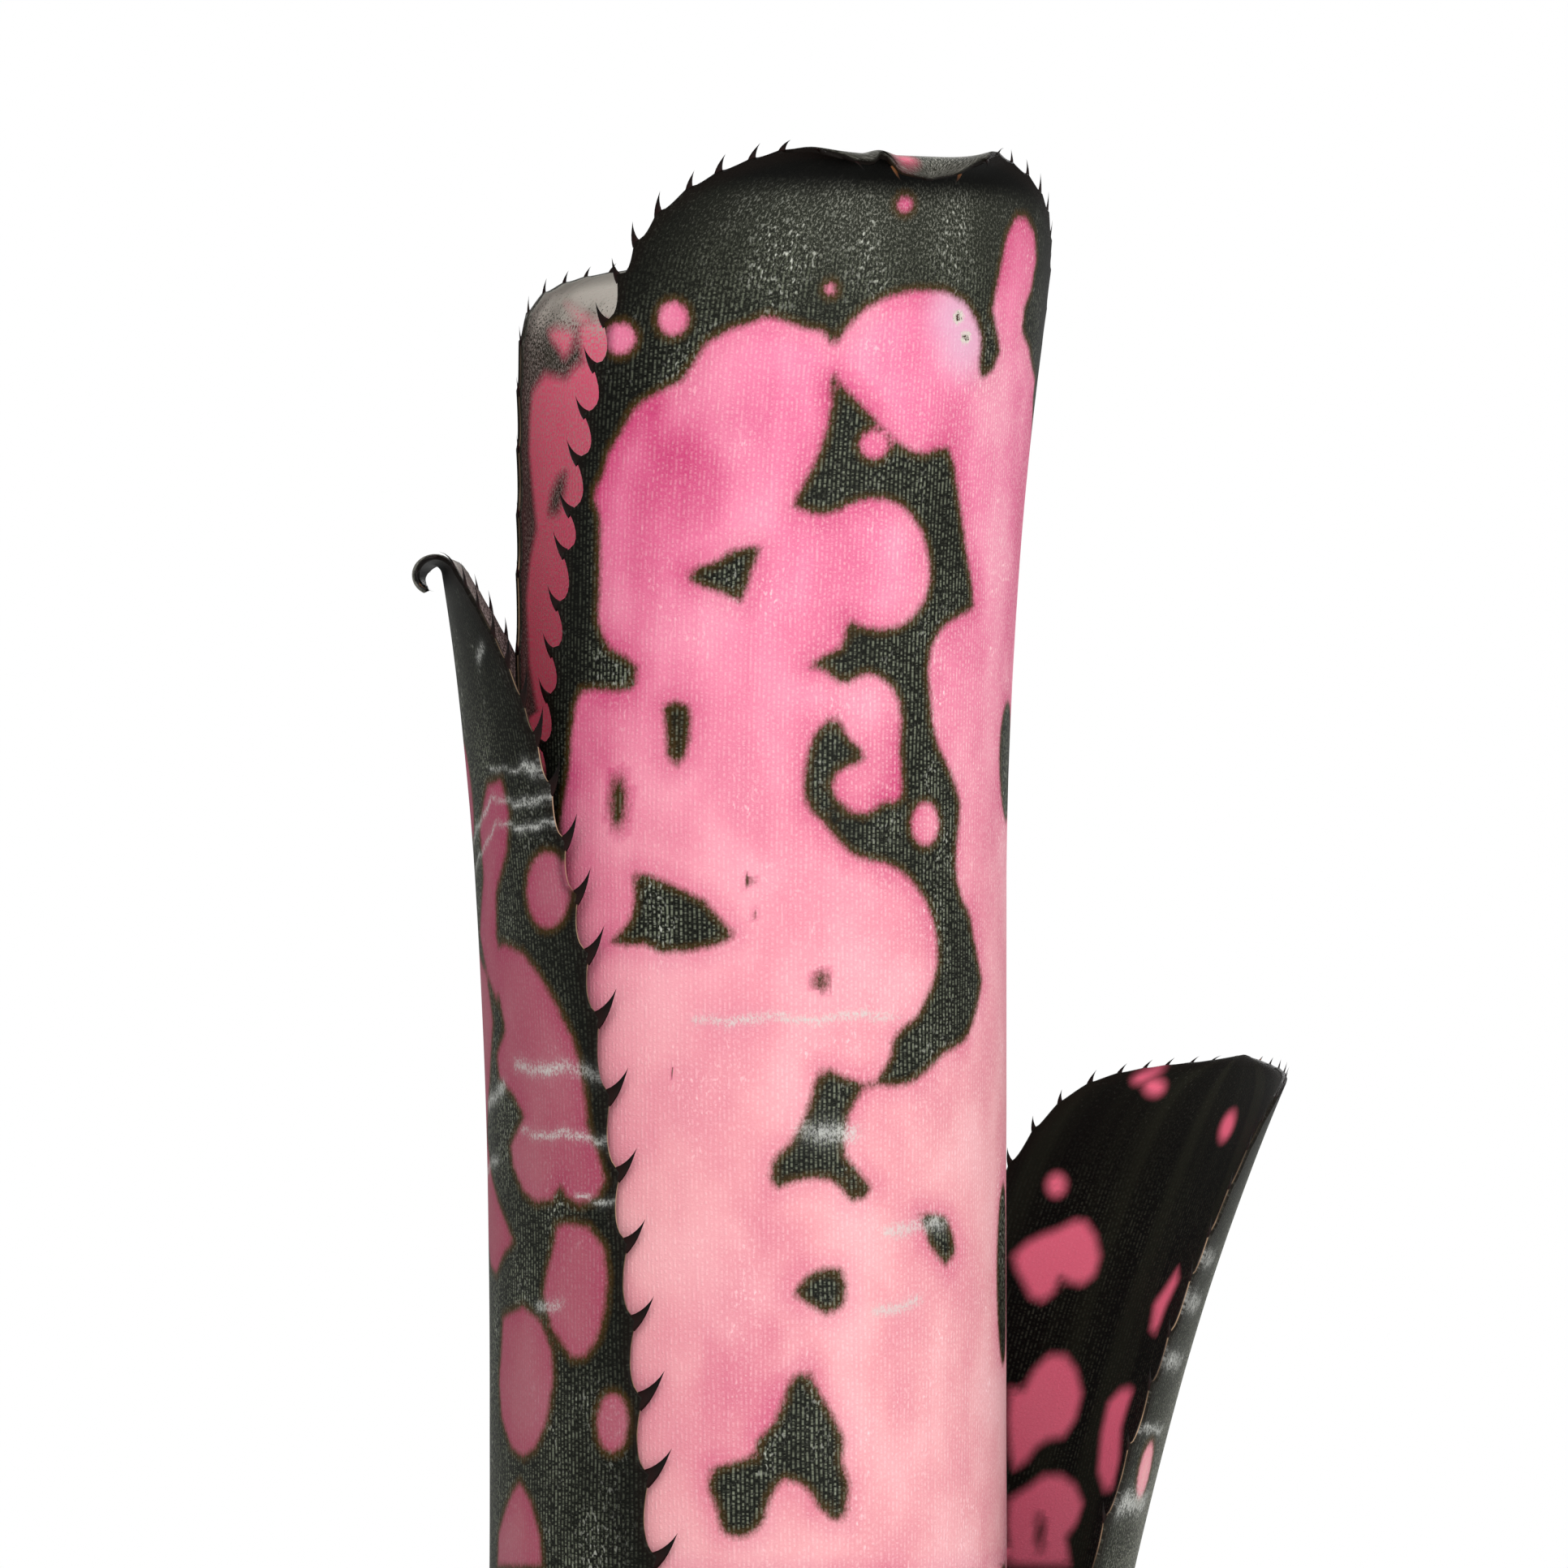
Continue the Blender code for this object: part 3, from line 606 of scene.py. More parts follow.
def flat_fields(leaf, across, along, rim, side):
    """The values that the materials read, at flat points given in metres."""
    marks = HAND_MARKS.get(leaf.name, Marks(window=()))
    x, y = across / MM, along / MM
    near_tip = smooth(1.0 - (leaf.length - along) / leaf.veil)
    outer, inner = leaf.scurf
    middle = 1.0 - np.clip(np.abs(across) / half_width(leaf, along), 0.0, 1.0) ** 2
    haze = leaf.tip_haze * smooth(1.0 - (leaf.length - along) / (32 * MM)) * middle
    outer = outer * mix(0.3, 1.4, middle) + haze
    scurf = np.where(side > 0.0, outer, mix(inner, leaf.tip_scurf, near_tip))
    bands = [*marks.bands, *wild_bands(leaf)]
    if bands:
        wavy = y + 0.3 * np.sin(0.6 * x) + 0.15 * np.sin(1.7 * x + 1.0)
        strength = [np.exp(-line_distance(x, wavy, band) ** 2) for band in bands]
        band = np.max(strength, axis=0)
    else:
        band = np.zeros(x.shape)
    flush = np.zeros(x.shape)
    for place_x, place_y, half_x, half_y, strength in marks.flushes:
        flush += strength * np.exp(-((x - place_x) / half_x) ** 2 - ((y - place_y) / half_y) ** 2)
    scar = np.full(x.shape, 30.0)
    for place in marks.scars:
        scar = np.minimum(scar, np.hypot(x - place[0], y - place[1]))
    scar = np.where(side > 0.0, scar, 30.0)
    return {
        "flat_mm": np.stack([vein_places(leaf, across, along) / MM, y, side], 1),
        "blotch": blotch_field(leaf, x, y),
        "rim": rim / MM,
        "scurf": scurf,
        "band": np.where(side > 0.0, band, 0.0),
        "scar": scar,
        "flush": flush,
        "painted_shade": np.full(x.shape, leaf.painted_shade),
        "depth": (leaf.length - along) / MM,
    }


def trimmed(leaf, along):
    """Share of its width that the left half of a leaf keeps near the tip."""
    return 1.0 - leaf.trim * smooth(1.0 - (leaf.length - along) / leaf.trim_reach)


def flat_leaf(leaf, blades):
    """Mesh of a leaf laid out flat, outer face up, with loose points where its spines grow."""
    foot = leaf_foot(leaf)
    table = edge_table(leaf, foot)
    distances = row_distances(leaf, table)
    random = np.random.default_rng(leaf.seed)
    edges = {
        -1.0: spine_places(leaf, table, leaf.spines_from[0], random),
        1.0: spine_places(leaf, table, leaf.spines_from[1], random),
    }
    heights = np.interp(distances, *table)
    widths = half_width(leaf, heights)
    outward = edge_outward(leaf, table, distances)
    turns = np.linspace(-1.0, 1.0, 2 * leaf.half_columns + 1)
    shares = np.sign(turns) * (1.0 - (1.0 - np.abs(turns)) ** 1.35)
    across = widths[:, None] * shares[None, :]
    across *= np.where(across < 0.0, trimmed(leaf, heights)[:, None], 1.0)
    along = np.repeat(heights[:, None], len(shares), 1)
    rim = widths[:, None] * (1.0 - np.abs(shares)) * outward[:, :1]
    for side, places in edges.items():
        pull = np.clip(side * shares, 0.0, 1.0) ** 14
        bite = scallop(distances, places, leaf.bite * blades.scallop_share)
        across -= side * pull[None, :] * (bite * outward[:, 0])[:, None]
        along -= pull[None, :] * (bite * outward[:, 1])[:, None]
    aside = (across - CLEFT_PLACE) / (0.8 * MM)
    along -= leaf.cleft * np.exp(-aside ** 2) * smooth(1.0 - (leaf.length - along) / (5 * MM))

    rows, columns = across.shape
    number = np.arange(rows * columns).reshape(rows, columns)
    loop = np.concatenate([number[0], number[1:, -1], number[-1, -2::-1], number[-2:0:-1, 0]])
    push = np.zeros((rows, columns, 2))
    push[:, -1] = outward
    push[:, 0] = outward * (-1.0, 1.0)
    push[-1] = (0.0, 1.0)
    push[0] = 0.0
    push = push.reshape(-1, 2)[loop]
    across, along, rim = across.ravel(), along.ravel(), rim.ravel()
    depth = thickness(leaf, across, along)
    bulge = 0.35 * depth[loop, None] * push

    spines = [(side, *place) for side, places in edges.items() for place in places]
    side, distance, grown = np.array(spines).T
    root = np.interp(distance, *table)
    normal = edge_outward(leaf, table, distance) * np.stack([side, np.ones(side.shape)], 1)
    root_across = side * half_width(leaf, root) * np.where(side < 0.0, trimmed(leaf, root), 1.0)

    flat = [
        np.stack([across, along, np.zeros(across.shape)], 1),
        np.stack([across, along, -depth], 1),
        np.stack([across[loop] + bulge[:, 0], along[loop] + bulge[:, 1], -depth[loop] / 2], 1),
        np.stack([root_across, root, -thickness(leaf, root_across, root) / 2], 1),
    ]
    grid = np.stack(
        [number[:-1, :-1], number[:-1, 1:], number[1:, 1:], number[1:, :-1]], 2
    ).reshape(-1, 4)
    inner = grid[:, ::-1] + rows * columns
    after = np.roll(loop, -1)
    middle = 2 * rows * columns + np.arange(len(loop))
    middle_after = np.roll(middle, -1)
    upper = np.stack([loop, middle, middle_after, after], 1)
    below = rows * columns
    lower = np.stack([middle, loop + below, after + below, middle_after], 1)

    mesh = bpy.data.meshes.new(leaf.name)
    faces = np.concatenate([grid, inner, upper, lower])
    mesh.from_pydata(np.concatenate(flat).tolist(), [], faces.tolist())
    faces_side = [
        np.ones(across.shape), -np.ones(across.shape), np.ones(loop.shape), np.ones(side.shape)
    ]
    spread = [across, across, across[loop], root_across]
    climb = [along, along, along[loop], root]
    border = [rim, rim, np.full(loop.shape, -0.4 * MM), np.zeros(side.shape)]
    values = flat_fields(leaf, *(np.concatenate(part) for part in (spread, climb, border, faces_side)))
    for name, value in values.items():
        kind = "FLOAT_VECTOR" if value.ndim == 2 else "FLOAT"
        layer = mesh.attributes.new(name, kind, "POINT")
        layer.data.foreach_set("vector" if value.ndim == 2 else "value", value.ravel())
    total = len(mesh.vertices)
    first = total - len(side)
    store_tail(mesh, "is_spine", "BOOLEAN", first, np.ones(side.shape, bool))
    store_tail(mesh, "grown", "FLOAT", first, grown)
    store_tail(mesh, "edge_side", "FLOAT", first, side)
    store_tail(mesh, "outward", "FLOAT_VECTOR", first,
               np.concatenate([normal, np.zeros((len(side), 1))], 1))
    mesh.shade_smooth()
    return mesh


def store_tail(mesh, name, kind, first, tail):
    """Attribute of the points from first on, empty on those before them."""
    layer = mesh.attributes.new(name, kind, "POINT")
    values = np.zeros((len(mesh.vertices), *tail.shape[1:]), tail.dtype)
    values[first:] = tail
    layer.data.foreach_set("vector" if tail.ndim == 2 else "value", values.ravel())


class Field:
    """A number in a node tree, which ordinary arithmetic turns into more Math nodes."""

    def __init__(self, tree, socket):
        self.tree = tree
        self.socket = socket

    def math(self, operation, *others):
        node = self.tree.nodes.new("ShaderNodeMath")
        node.operation = operation
        for entry, value in zip(node.inputs, (self, *others)):
            feed(self.tree, entry, value)
        return Field(self.tree, node.outputs[0])

    def __add__(self, other):
        return self.math("ADD", other)

    def __radd__(self, other):
        return self.math("ADD", other)

    def __sub__(self, other):
        return self.math("SUBTRACT", other)

    def __rsub__(self, other):
        return self.math("MULTIPLY", -1.0).math("ADD", other)

    def __mul__(self, other):
        return self.math("MULTIPLY", other)

    def __rmul__(self, other):
        return self.math("MULTIPLY", other)

    def __truediv__(self, other):
        return self.math("DIVIDE", other)

    def __pow__(self, other):
        return self.math("POWER", other)

    def step(self, low, high):
        """Smooth rise from 0 at low to 1 at high."""
        node = self.tree.nodes.new("ShaderNodeMapRange")
        node.interpolation_type = "SMOOTHSTEP"
        feed(self.tree, node.inputs["Value"], self)
        feed(self.tree, node.inputs["From Min"], low)
        feed(self.tree, node.inputs["From Max"], high)
        return Field(self.tree, node.outputs["Result"])


def feed(tree, entry, value):
    """Link a field or socket to an input, or set the input to a plain value."""
    if isinstance(value, Field):
        value = value.socket
    if isinstance(value, bpy.types.NodeSocket):
        tree.links.new(value, entry)
    else:
        entry.default_value = value


def add_node(tree, kind, inputs=None, **settings):
    """New node with its settings, and its inputs by name or number."""
    node = tree.nodes.new(kind)
    for name, value in settings.items():
        setattr(node, name, value)
    for name, value in (inputs or {}).items():
        feed(tree, node.inputs[name], value)
    return node


def combine(tree, x, y, z):
    """Vector of three fields or numbers."""
    return add_node(tree, "ShaderNodeCombineXYZ", {"X": x, "Y": y, "Z": z}).outputs[0]


def separate(tree, vector):
    """The three numbers of a vector."""
    node = add_node(tree, "ShaderNodeSeparateXYZ", {"Vector": vector})
    return [Field(tree, output) for output in node.outputs]


def named(tree, name, kind="FLOAT"):
    """Socket of an attribute that the flat leaf carries, in a Geometry Nodes tree."""
    node = add_node(tree, "GeometryNodeInputNamedAttribute", {"Name": name}, data_type=kind)
    return node.outputs["Attribute"]


LEAF_INPUTS = {
    "Azimuth": "NodeSocketFloat",
    "Length": "NodeSocketFloat",
    "Base Radius": "NodeSocketFloat",
    "Tube Radius": "NodeSocketFloat",
    "Swell Height": "NodeSocketFloat",
    "Free Height": "NodeSocketFloat",
    "Lean": "NodeSocketFloat",
    "Lean Power": "NodeSocketFloat",
    "Flare": "NodeSocketFloat",
    "Flare Height": "NodeSocketFloat",
    "Curl Centre": "NodeSocketFloat",
    "Curl Length": "NodeSocketFloat",
    "Curl Radius": "NodeSocketFloat",
    "Curl Reach": "NodeSocketFloat",
    "Fold": "NodeSocketFloat",
    "Unevenness": "NodeSocketFloat",
    "Tip Spine Length": "NodeSocketFloat",
    "Full Spine Length": "NodeSocketFloat",
    "Spine Jitter": "NodeSocketFloat",
    "Seed": "NodeSocketInt",
    "Leaf Material": "NodeSocketMaterial",
    "Spine Material": "NodeSocketMaterial",
}


def rolled_place(tree, given):
    """Position of a flat point once its leaf is rolled round the plant and curled at its tip."""
    place = add_node(tree, "GeometryNodeInputPosition").outputs[0]
    across, along, height = separate(tree, place)
    curl_from = given["Length"] - given["Curl Length"]
    straight = along.math("MINIMUM", curl_from)

    span = given["Length"] - given["Free Height"]
    freed = (straight - given["Free Height"]).math("MAXIMUM", 0.0) / span
    power = given["Lean Power"]
    tilt = given["Lean"] * freed ** power
    shift = span * given["Lean"] * freed ** (power + 1.0) / (power + 1.0)
    twice = power * 2.0 + 1.0
    drop = span * given["Lean"] * given["Lean"] * freed ** twice / (twice * 2.0)

    reach = curl_from - given["Flare Height"]
    opened = ((straight - given["Flare Height"]) / reach).math("MAXIMUM", 0.0)
    opened = opened.math("MINIMUM", 1.0)
    swell = (straight / given["Swell Height"]).step(0.0, 1.0)
    radius = given["Base Radius"] + (given["Tube Radius"] - given["Base Radius"]) * swell
    radius = radius + given["Flare"] * opened * opened
    angle = across / radius

    aside = (across - given["Curl Centre"]) / given["Curl Reach"]
    window = (aside * aside * aside * aside * -1.0).math("EXPONENT")
    bend = (window / given["Curl Radius"]).math("MAXIMUM", 1.0)
    first = (given["Flare"] * opened * 2.0 / reach).math("ARCTANGENT")
    turned = first + bend * (along - straight)
    rise = (turned.math("SINE") - first.math("SINE")) / bend
    outward = (first.math("COSINE") - turned.math("COSINE")) / bend

    crease = ((across - CLEFT_PLACE) / 0.0022).math("ABSOLUTE").step(1.0, 0.0)
    near_tip = (along / given["Length"]).step(0.935, 0.985)
    dents = add_node(tree, "ShaderNodeTexNoise", {
        "Vector": combine(tree, across, along * 0.4, given["Seed"]), "Scale": 70.0, "Detail": 1.0,
    })
    dents = (Field(tree, dents.outputs[0]) - 0.5) * given["Unevenness"]
    height = height + dents - given["Fold"] * crease * near_tip

    from_axis = radius + outward + height * turned.math("COSINE")
    lift = rise - height * turned.math("SINE")
    middle = from_axis * angle.math("COSINE")
    side = from_axis * angle.math("SINE")
    tilt_cosine, tilt_sine = tilt.math("COSINE"), tilt.math("SINE")
    radial = shift + middle * tilt_cosine + lift * tilt_sine
    up = straight - drop - middle * tilt_sine + lift * tilt_cosine + radius * tilt_sine
    azimuth_cosine = given["Azimuth"].math("COSINE")
    azimuth_sine = given["Azimuth"].math("SINE")
    x = radial * azimuth_cosine - side * azimuth_sine
    y = radial * azimuth_sine + side * azimuth_cosine
    return combine(tree, x, y, up)


def spine_shape(tree):
    """A hook one unit long, flat and flared at its root, that bends up towards +Y."""
    line = add_node(tree, "GeometryNodeCurveQuadraticBezier", {
        "Resolution": 6, "Start": (-0.2, -0.16, 0.0), "Middle": (0.26, 0.0, 0.0),
        "End": (0.66, 0.58, 0.0),
    })
    along = Field(tree, add_node(tree, "GeometryNodeSplineParameter").outputs["Factor"])
    marked = add_node(tree, "GeometryNodeStoreNamedAttribute", {
        "Geometry": line.outputs[0], "Name": "spine_share", "Value": along,
    }, data_type="FLOAT", domain="POINT")
    ring = add_node(tree, "GeometryNodeCurvePrimitiveCircle", {"Resolution": 8, "Radius": 0.26})
    hook = add_node(tree, "GeometryNodeCurveToMesh", {
        "Curve": marked.outputs[0], "Profile Curve": ring.outputs[0],
        "Scale": (1.001 - along) ** 1.35, "Fill Caps": True,
    })
    flattened = add_node(tree, "GeometryNodeTransform", {
        "Geometry": hook.outputs[0], "Scale": (1.0, 1.0, 0.26),
    })
    tagged = add_node(tree, "GeometryNodeStoreNamedAttribute", {
        "Geometry": flattened.outputs[0], "Name": "on_spine", "Value": True,
    }, data_type="BOOLEAN", domain="FACE")
    return tagged.outputs[0]


def leaf_tree():
    """Tree that grows the spines on a flat leaf, rolls it up and gives it its materials."""
    tree = bpy.data.node_groups.new("Rolled Leaf", "GeometryNodeTree")
    tree.interface.new_socket("Geometry", in_out="INPUT", socket_type="NodeSocketGeometry")
    for name, kind in LEAF_INPUTS.items():
        tree.interface.new_socket(name, in_out="INPUT", socket_type=kind)
    tree.interface.new_socket("Geometry", in_out="OUTPUT", socket_type="NodeSocketGeometry")
    entry = add_node(tree, "NodeGroupInput")
    given = {name: Field(tree, entry.outputs[name]) for name in LEAF_INPUTS}

    parted = add_node(tree, "GeometryNodeSeparateGeometry", {
        "Geometry": entry.outputs["Geometry"], "Selection": named(tree, "is_spine", "BOOLEAN"),
    })
    grown = Field(tree, named(tree, "grown"))
    draw = add_node(tree, "FunctionNodeRandomValue", {"Seed": given["Seed"]}, data_type="FLOAT")
    jitter = (Field(tree, draw.outputs[1]) - 0.5) * given["Spine Jitter"] * 2.0 + 1.0
    size = given["Tip Spine Length"]
    size = (size + (given["Full Spine Length"] - size) * grown) * jitter
    turn = add_node(tree, "FunctionNodeAxesToRotation", {
        "Primary Axis": named(tree, "outward", "FLOAT_VECTOR"),
        "Secondary Axis": combine(tree, 0.0, 0.0, Field(tree, named(tree, "edge_side"))),
    }, primary_axis="X", secondary_axis="Z")
    spines = add_node(tree, "GeometryNodeInstanceOnPoints", {
        "Points": parted.outputs["Selection"], "Instance": spine_shape(tree),
        "Rotation": turn.outputs[0], "Scale": combine(tree, size, size, size),
    })
    marked = add_node(tree, "GeometryNodeStoreNamedAttribute", {
        "Geometry": spines.outputs[0], "Name": "spine_grown", "Value": grown,
    }, data_type="FLOAT", domain="INSTANCE")
    joined = add_node(tree, "GeometryNodeJoinGeometry")
    tree.links.new(marked.outputs[0], joined.inputs[0])
    tree.links.new(parted.outputs["Inverted"], joined.inputs[0])
    real = add_node(tree, "GeometryNodeRealizeInstances", {"Geometry": joined.outputs[0]})
    rolled = add_node(tree, "GeometryNodeSetPosition", {
        "Geometry": real.outputs[0], "Position": rolled_place(tree, given),
    })
    soft = add_node(tree, "GeometryNodeSetShadeSmooth", {"Geometry": rolled.outputs[0]})
    plain = add_node(tree, "GeometryNodeSetMaterial", {
        "Geometry": soft.outputs[0], "Material": given["Leaf Material"],
    })
    thorny = add_node(tree, "GeometryNodeSetMaterial", {
        "Geometry": plain.outputs[0], "Selection": named(tree, "on_spine", "BOOLEAN"),
        "Material": given["Spine Material"],
    })
    leave = add_node(tree, "NodeGroupOutput")
    tree.links.new(thorny.outputs[0], leave.inputs[0])
    return tree


def mix_colour(tree, share, first, second, blend="MIX"):
    """Colour between two others."""
    node = add_node(tree, "ShaderNodeMix", data_type="RGBA", blend_type=blend)
    node.clamp_factor = True
    feed(tree, node.inputs[0], share)
    feed(tree, node.inputs[6], first)
    feed(tree, node.inputs[7], second)
    return node.outputs[2]


def surface_value(tree, name):
    """Number that the piece carries at each point, in a material."""
    node = add_node(tree, "ShaderNodeAttribute", attribute_name=name)
    return Field(tree, node.outputs["Fac"])


def noise(tree, vector, scale, detail=2.0, roughness=0.5):
    node = add_node(tree, "ShaderNodeTexNoise", {
        "Vector": vector, "Scale": scale, "Detail": detail, "Roughness": roughness,
    })
    return Field(tree, node.outputs[0])


def new_material(name):
    """Material with its tree and its Principled shader."""
    material = bpy.data.materials.new(name)
    material.use_nodes = True
    return material, material.node_tree, material.node_tree.nodes["Principled BSDF"]


def leaf_material(name, colours, blades):
    """Leaf skin: pink blotches on near-black green, rows of pale scales, bands and scars, with painted
    highlights, painted glow and painted shade.
    """
    material, tree, shader = new_material(name)
    place = add_node(tree, "ShaderNodeAttribute", attribute_name="flat_mm").outputs["Vector"]
    vein, along, side = separate(tree, place)
    blotch = surface_value(tree, "blotch")
    rim = surface_value(tree, "rim")
    scurf = surface_value(tree, "scurf")
    inner = side.step(0.5, -0.5)

    row = vein / (blades.vein_pitch / MM)
    wander = noise(tree, combine(tree, vein * 0.3, along * 0.12, side), 1.0, 1.0)
    row = row + (wander - 0.5) * 0.9
    number = row.math("FLOOR")
    off_row = (row - number - 0.5).math("ABSOLUTE")
    grain = noise(tree, combine(tree, vein * 3.6, along * 2.5, side * 5.0), 1.0, 2.0, 0.75)
    dash = noise(tree, combine(tree, number * 3.17, along * 2.4, side * 7.0), 1.0, 2.0, 0.6)
    painted_glint = noise(tree, combine(tree, vein * 2.3, along * 1.3, side * 9.0), 1.0, 1.0, 0.5)
    patch = noise(tree, combine(tree, vein * 0.16, along * 0.07, side * 3.0), 1.0, 3.0, 0.6)
    cloud = noise(tree, combine(tree, vein * 0.08, along * 0.055, side * 11.0), 1.0, 2.0, 0.5)
    streak = noise(tree, combine(tree, vein * 0.75, along * 0.035, side * 2.0), 1.0, 3.0, 0.6)
    fray = noise(tree, combine(tree, vein * 1.9, along * 0.8, side * 2.0), 1.0, 3.0, 0.6)

    depth = surface_value(tree, "depth")
    near_tip = depth.step(30.0, 8.0)
    # Painted shadow under the curled tip: on the outer face within about 9.5 mm of the tip, the pale
    # scales and scurf fade out, so the skin stays near-black.
    painted_lip_shadow = depth.step(9.5, 6.0) * (1.0 - inner)
    lined = 1.0 - near_tip
    dots = off_row.step(0.34, 0.1) * dash.step(0.42, 0.62) * lined
    inland = (rim.step(1.0, 15.0) * 0.8 + 0.2) * (1.0 - painted_lip_shadow * 0.9)
    specks = grain.step(0.44, 0.7) * (near_tip * 0.18 + 0.07)
    scales = (dots * 0.62 + specks) * (patch.step(0.25, 0.65) * 0.6 + 0.4) * inland
    scales = scales * (1.0 - inner * 0.8)
    dark = mix_colour(tree, scales, colours.dark, colours.scales)
    # Painted highlight: patches of pale specks on the dark ground stand for light caught by the scales.
    painted_highlight = painted_glint.step(0.56, 0.74) * patch.step(0.48, 0.72) * (1.0 - inner) * inland
    dark = mix_colour(tree, painted_highlight * 0.8, dark, colours.painted_glint)
    stripe = noise(tree, combine(tree, vein * 0.22, along * 0.004, side), 1.0, 1.0).step(0.45, 0.62)
    dark = mix_colour(tree, stripe * inner * 0.5, dark, colours.stripe)
    flakes = (grain + scurf * 0.5).step(0.6, 0.78)
    veil = (scurf * 2.2).math("MINIMUM", 1.0) * flakes * (patch.step(0.3, 0.6) * 0.5 + 0.6)
    veil = veil * (1.0 - painted_lip_shadow)
    dark = mix_colour(tree, scurf * 0.3 * (1.0 - painted_lip_shadow), dark, colours.scales)
    dark = mix_colour(tree, veil * (inner * 0.4 + 0.6), dark, colours.scurf)

    lit = mix_colour(tree, (along / 100.0).step(2.3, 3.3), colours.pink_low, colours.pink_high)
    deep = cloud.step(0.4, 0.72) * 0.34 + streak.step(0.42, 0.75) * 0.08
    deep = deep + blotch.step(3.6, 0.4) * (0.36 - inner * 0.26)
    deep = deep * ((along / 100.0).step(2.2, 3.3) * 0.3 + 0.8)
    deep = deep + surface_value(tree, "flush") * (cloud.step(0.3, 0.6) * 0.4 + 0.7)
    pink = mix_colour(tree, deep, lit, colours.pink_deep)
    pale = cloud.step(0.56, 0.3) * 0.22 + grain.step(0.45, 0.68) * 0.16 + dots * 0.34
    # Painted highlight: specks of light on the scales of the pink, added to its real pale streaks.
    pale = pale + painted_glint.step(0.58, 0.72) * patch.step(0.5, 0.7) * 0.75
    # Painted light: the pale share grows with the sideways place, so the pink is paler towards the
    # +across side (the right of the front leaf), where the key light falls, and deeper towards the other
    # side.
    pale = pale * (vein * 0.012 + 0.8)
    pink = mix_colour(tree, pale, pink, colours.pink_pale_and_highlight)
    # Inner faces take a brighter pink. This is partly their own colour and partly painted glow of light
    # shining through the thin leaf.
    pink = mix_colour(tree, inner * 0.84, pink, colours.pink_inner_and_glow)
    pink = mix_colour(tree, veil * 0.8, pink, colours.scurf)

    scar = surface_value(tree, "scar")
    pink = mix_colour(tree, scar.step(7.5, 1.0) * 0.6, pink, colours.bruise)
    edge = blotch + ((fray - 0.5) * 0.85 + (grain - 0.5) * 0.75) * (1.0 - inner * 0.8)
    # Painted shade: the pink of a leaf turned away from the light is darkened towards a dark mauve.
    pink = mix_colour(tree, surface_value(tree, "painted_shade"), pink, colours.painted_shade)
    skin = mix_colour(tree, edge.step(-0.25 - inner * 0.8, inner * 0.9 + 0.35), dark, pink)
    fringe = edge.step(-1.2, -0.1) * edge.step(0.9, 0.1) * (1.0 - inner * 0.8)
    skin = mix_colour(tree, fringe * 0.55, skin, colours.fringe)

    sheath = along.step(75.0, 12.0)
    skin = mix_colour(tree, sheath * 0.55, skin, colours.sheath)
    band = surface_value(tree, "band")
    flecks = (grain * 0.6 + fray * 0.4 + band * 0.22).step(0.58, 0.78)
    band = band * (flecks * 0.72 + 0.1)
    skin = mix_colour(tree, band * (patch.step(0.3, 0.6) * 0.5 + 0.5), skin, colours.band)

    ragged = scar + (grain - 0.5) * 1.6
    skin = mix_colour(tree, ragged.step(1.05, 0.75), skin, colours.crust)
    skin = mix_colour(tree, ragged.step(0.62, 0.4), skin, colours.pit)

    skin = mix_colour(tree, rim.step(2.4, 0.2) * 0.5, skin, colours.rim_shade)
    # Painted highlight: a thin pale line on the edge wall stands for light catching the thin edge and
    # shining through it.
    line = rim.step(-0.26, -0.36) * (patch.step(0.42, 0.6) * 0.75 + 0.1) * lined
    skin = mix_colour(tree, line, skin, colours.rim)
    tree.links.new(skin, shader.inputs["Base Color"])

    rough = veil * 0.2 + grain * 0.15 + 0.42
    tree.links.new(rough.socket, shader.inputs["Roughness"])
    shader.inputs["IOR"].default_value = 1.16
    relief = grain * 0.9 + dots * 0.5 - ragged.step(1.0, 0.2) * 3.0
    bump = add_node(tree, "ShaderNodeBump", {"Strength": 0.6, "Distance": 0.0001})
    feed(tree, bump.inputs["Height"], relief + band * 0.8)
    tree.links.new(bump.outputs[0], shader.inputs["Normal"])
    return material


def spine_material(name, colours):
    """Spines: mahogany at the root, near-black at the point, and orange-brown where small."""
    material, tree, shader = new_material(name)
    share = surface_value(tree, "spine_share")
    grown = surface_value(tree, "spine_grown")
    place = add_node(tree, "ShaderNodeTexCoord").outputs["Object"]
    grain = noise(tree, place, 2600.0, 2.0)
    full = mix_colour(tree, (share + (grain - 0.5) * 0.4).step(0.15, 0.75),
                      colours.spine_root, colours.spine_tip)
    young = mix_colour(tree, share.step(0.1, 0.9), colours.young_spine, colours.spine_root)
    skin = mix_colour(tree, grown.step(0.02, 0.22), young, full)
    tree.links.new(skin, shader.inputs["Base Color"])
    tree.links.new((grain * 0.25 + 0.35).socket, shader.inputs["Roughness"])
    shader.inputs["Specular IOR Level"].default_value = 0.12
    bump = add_node(tree, "ShaderNodeBump", {"Strength": 0.3, "Distance": 0.00005})
    feed(tree, bump.inputs["Height"], grain)
    tree.links.new(bump.outputs[0], shader.inputs["Normal"])
    return material


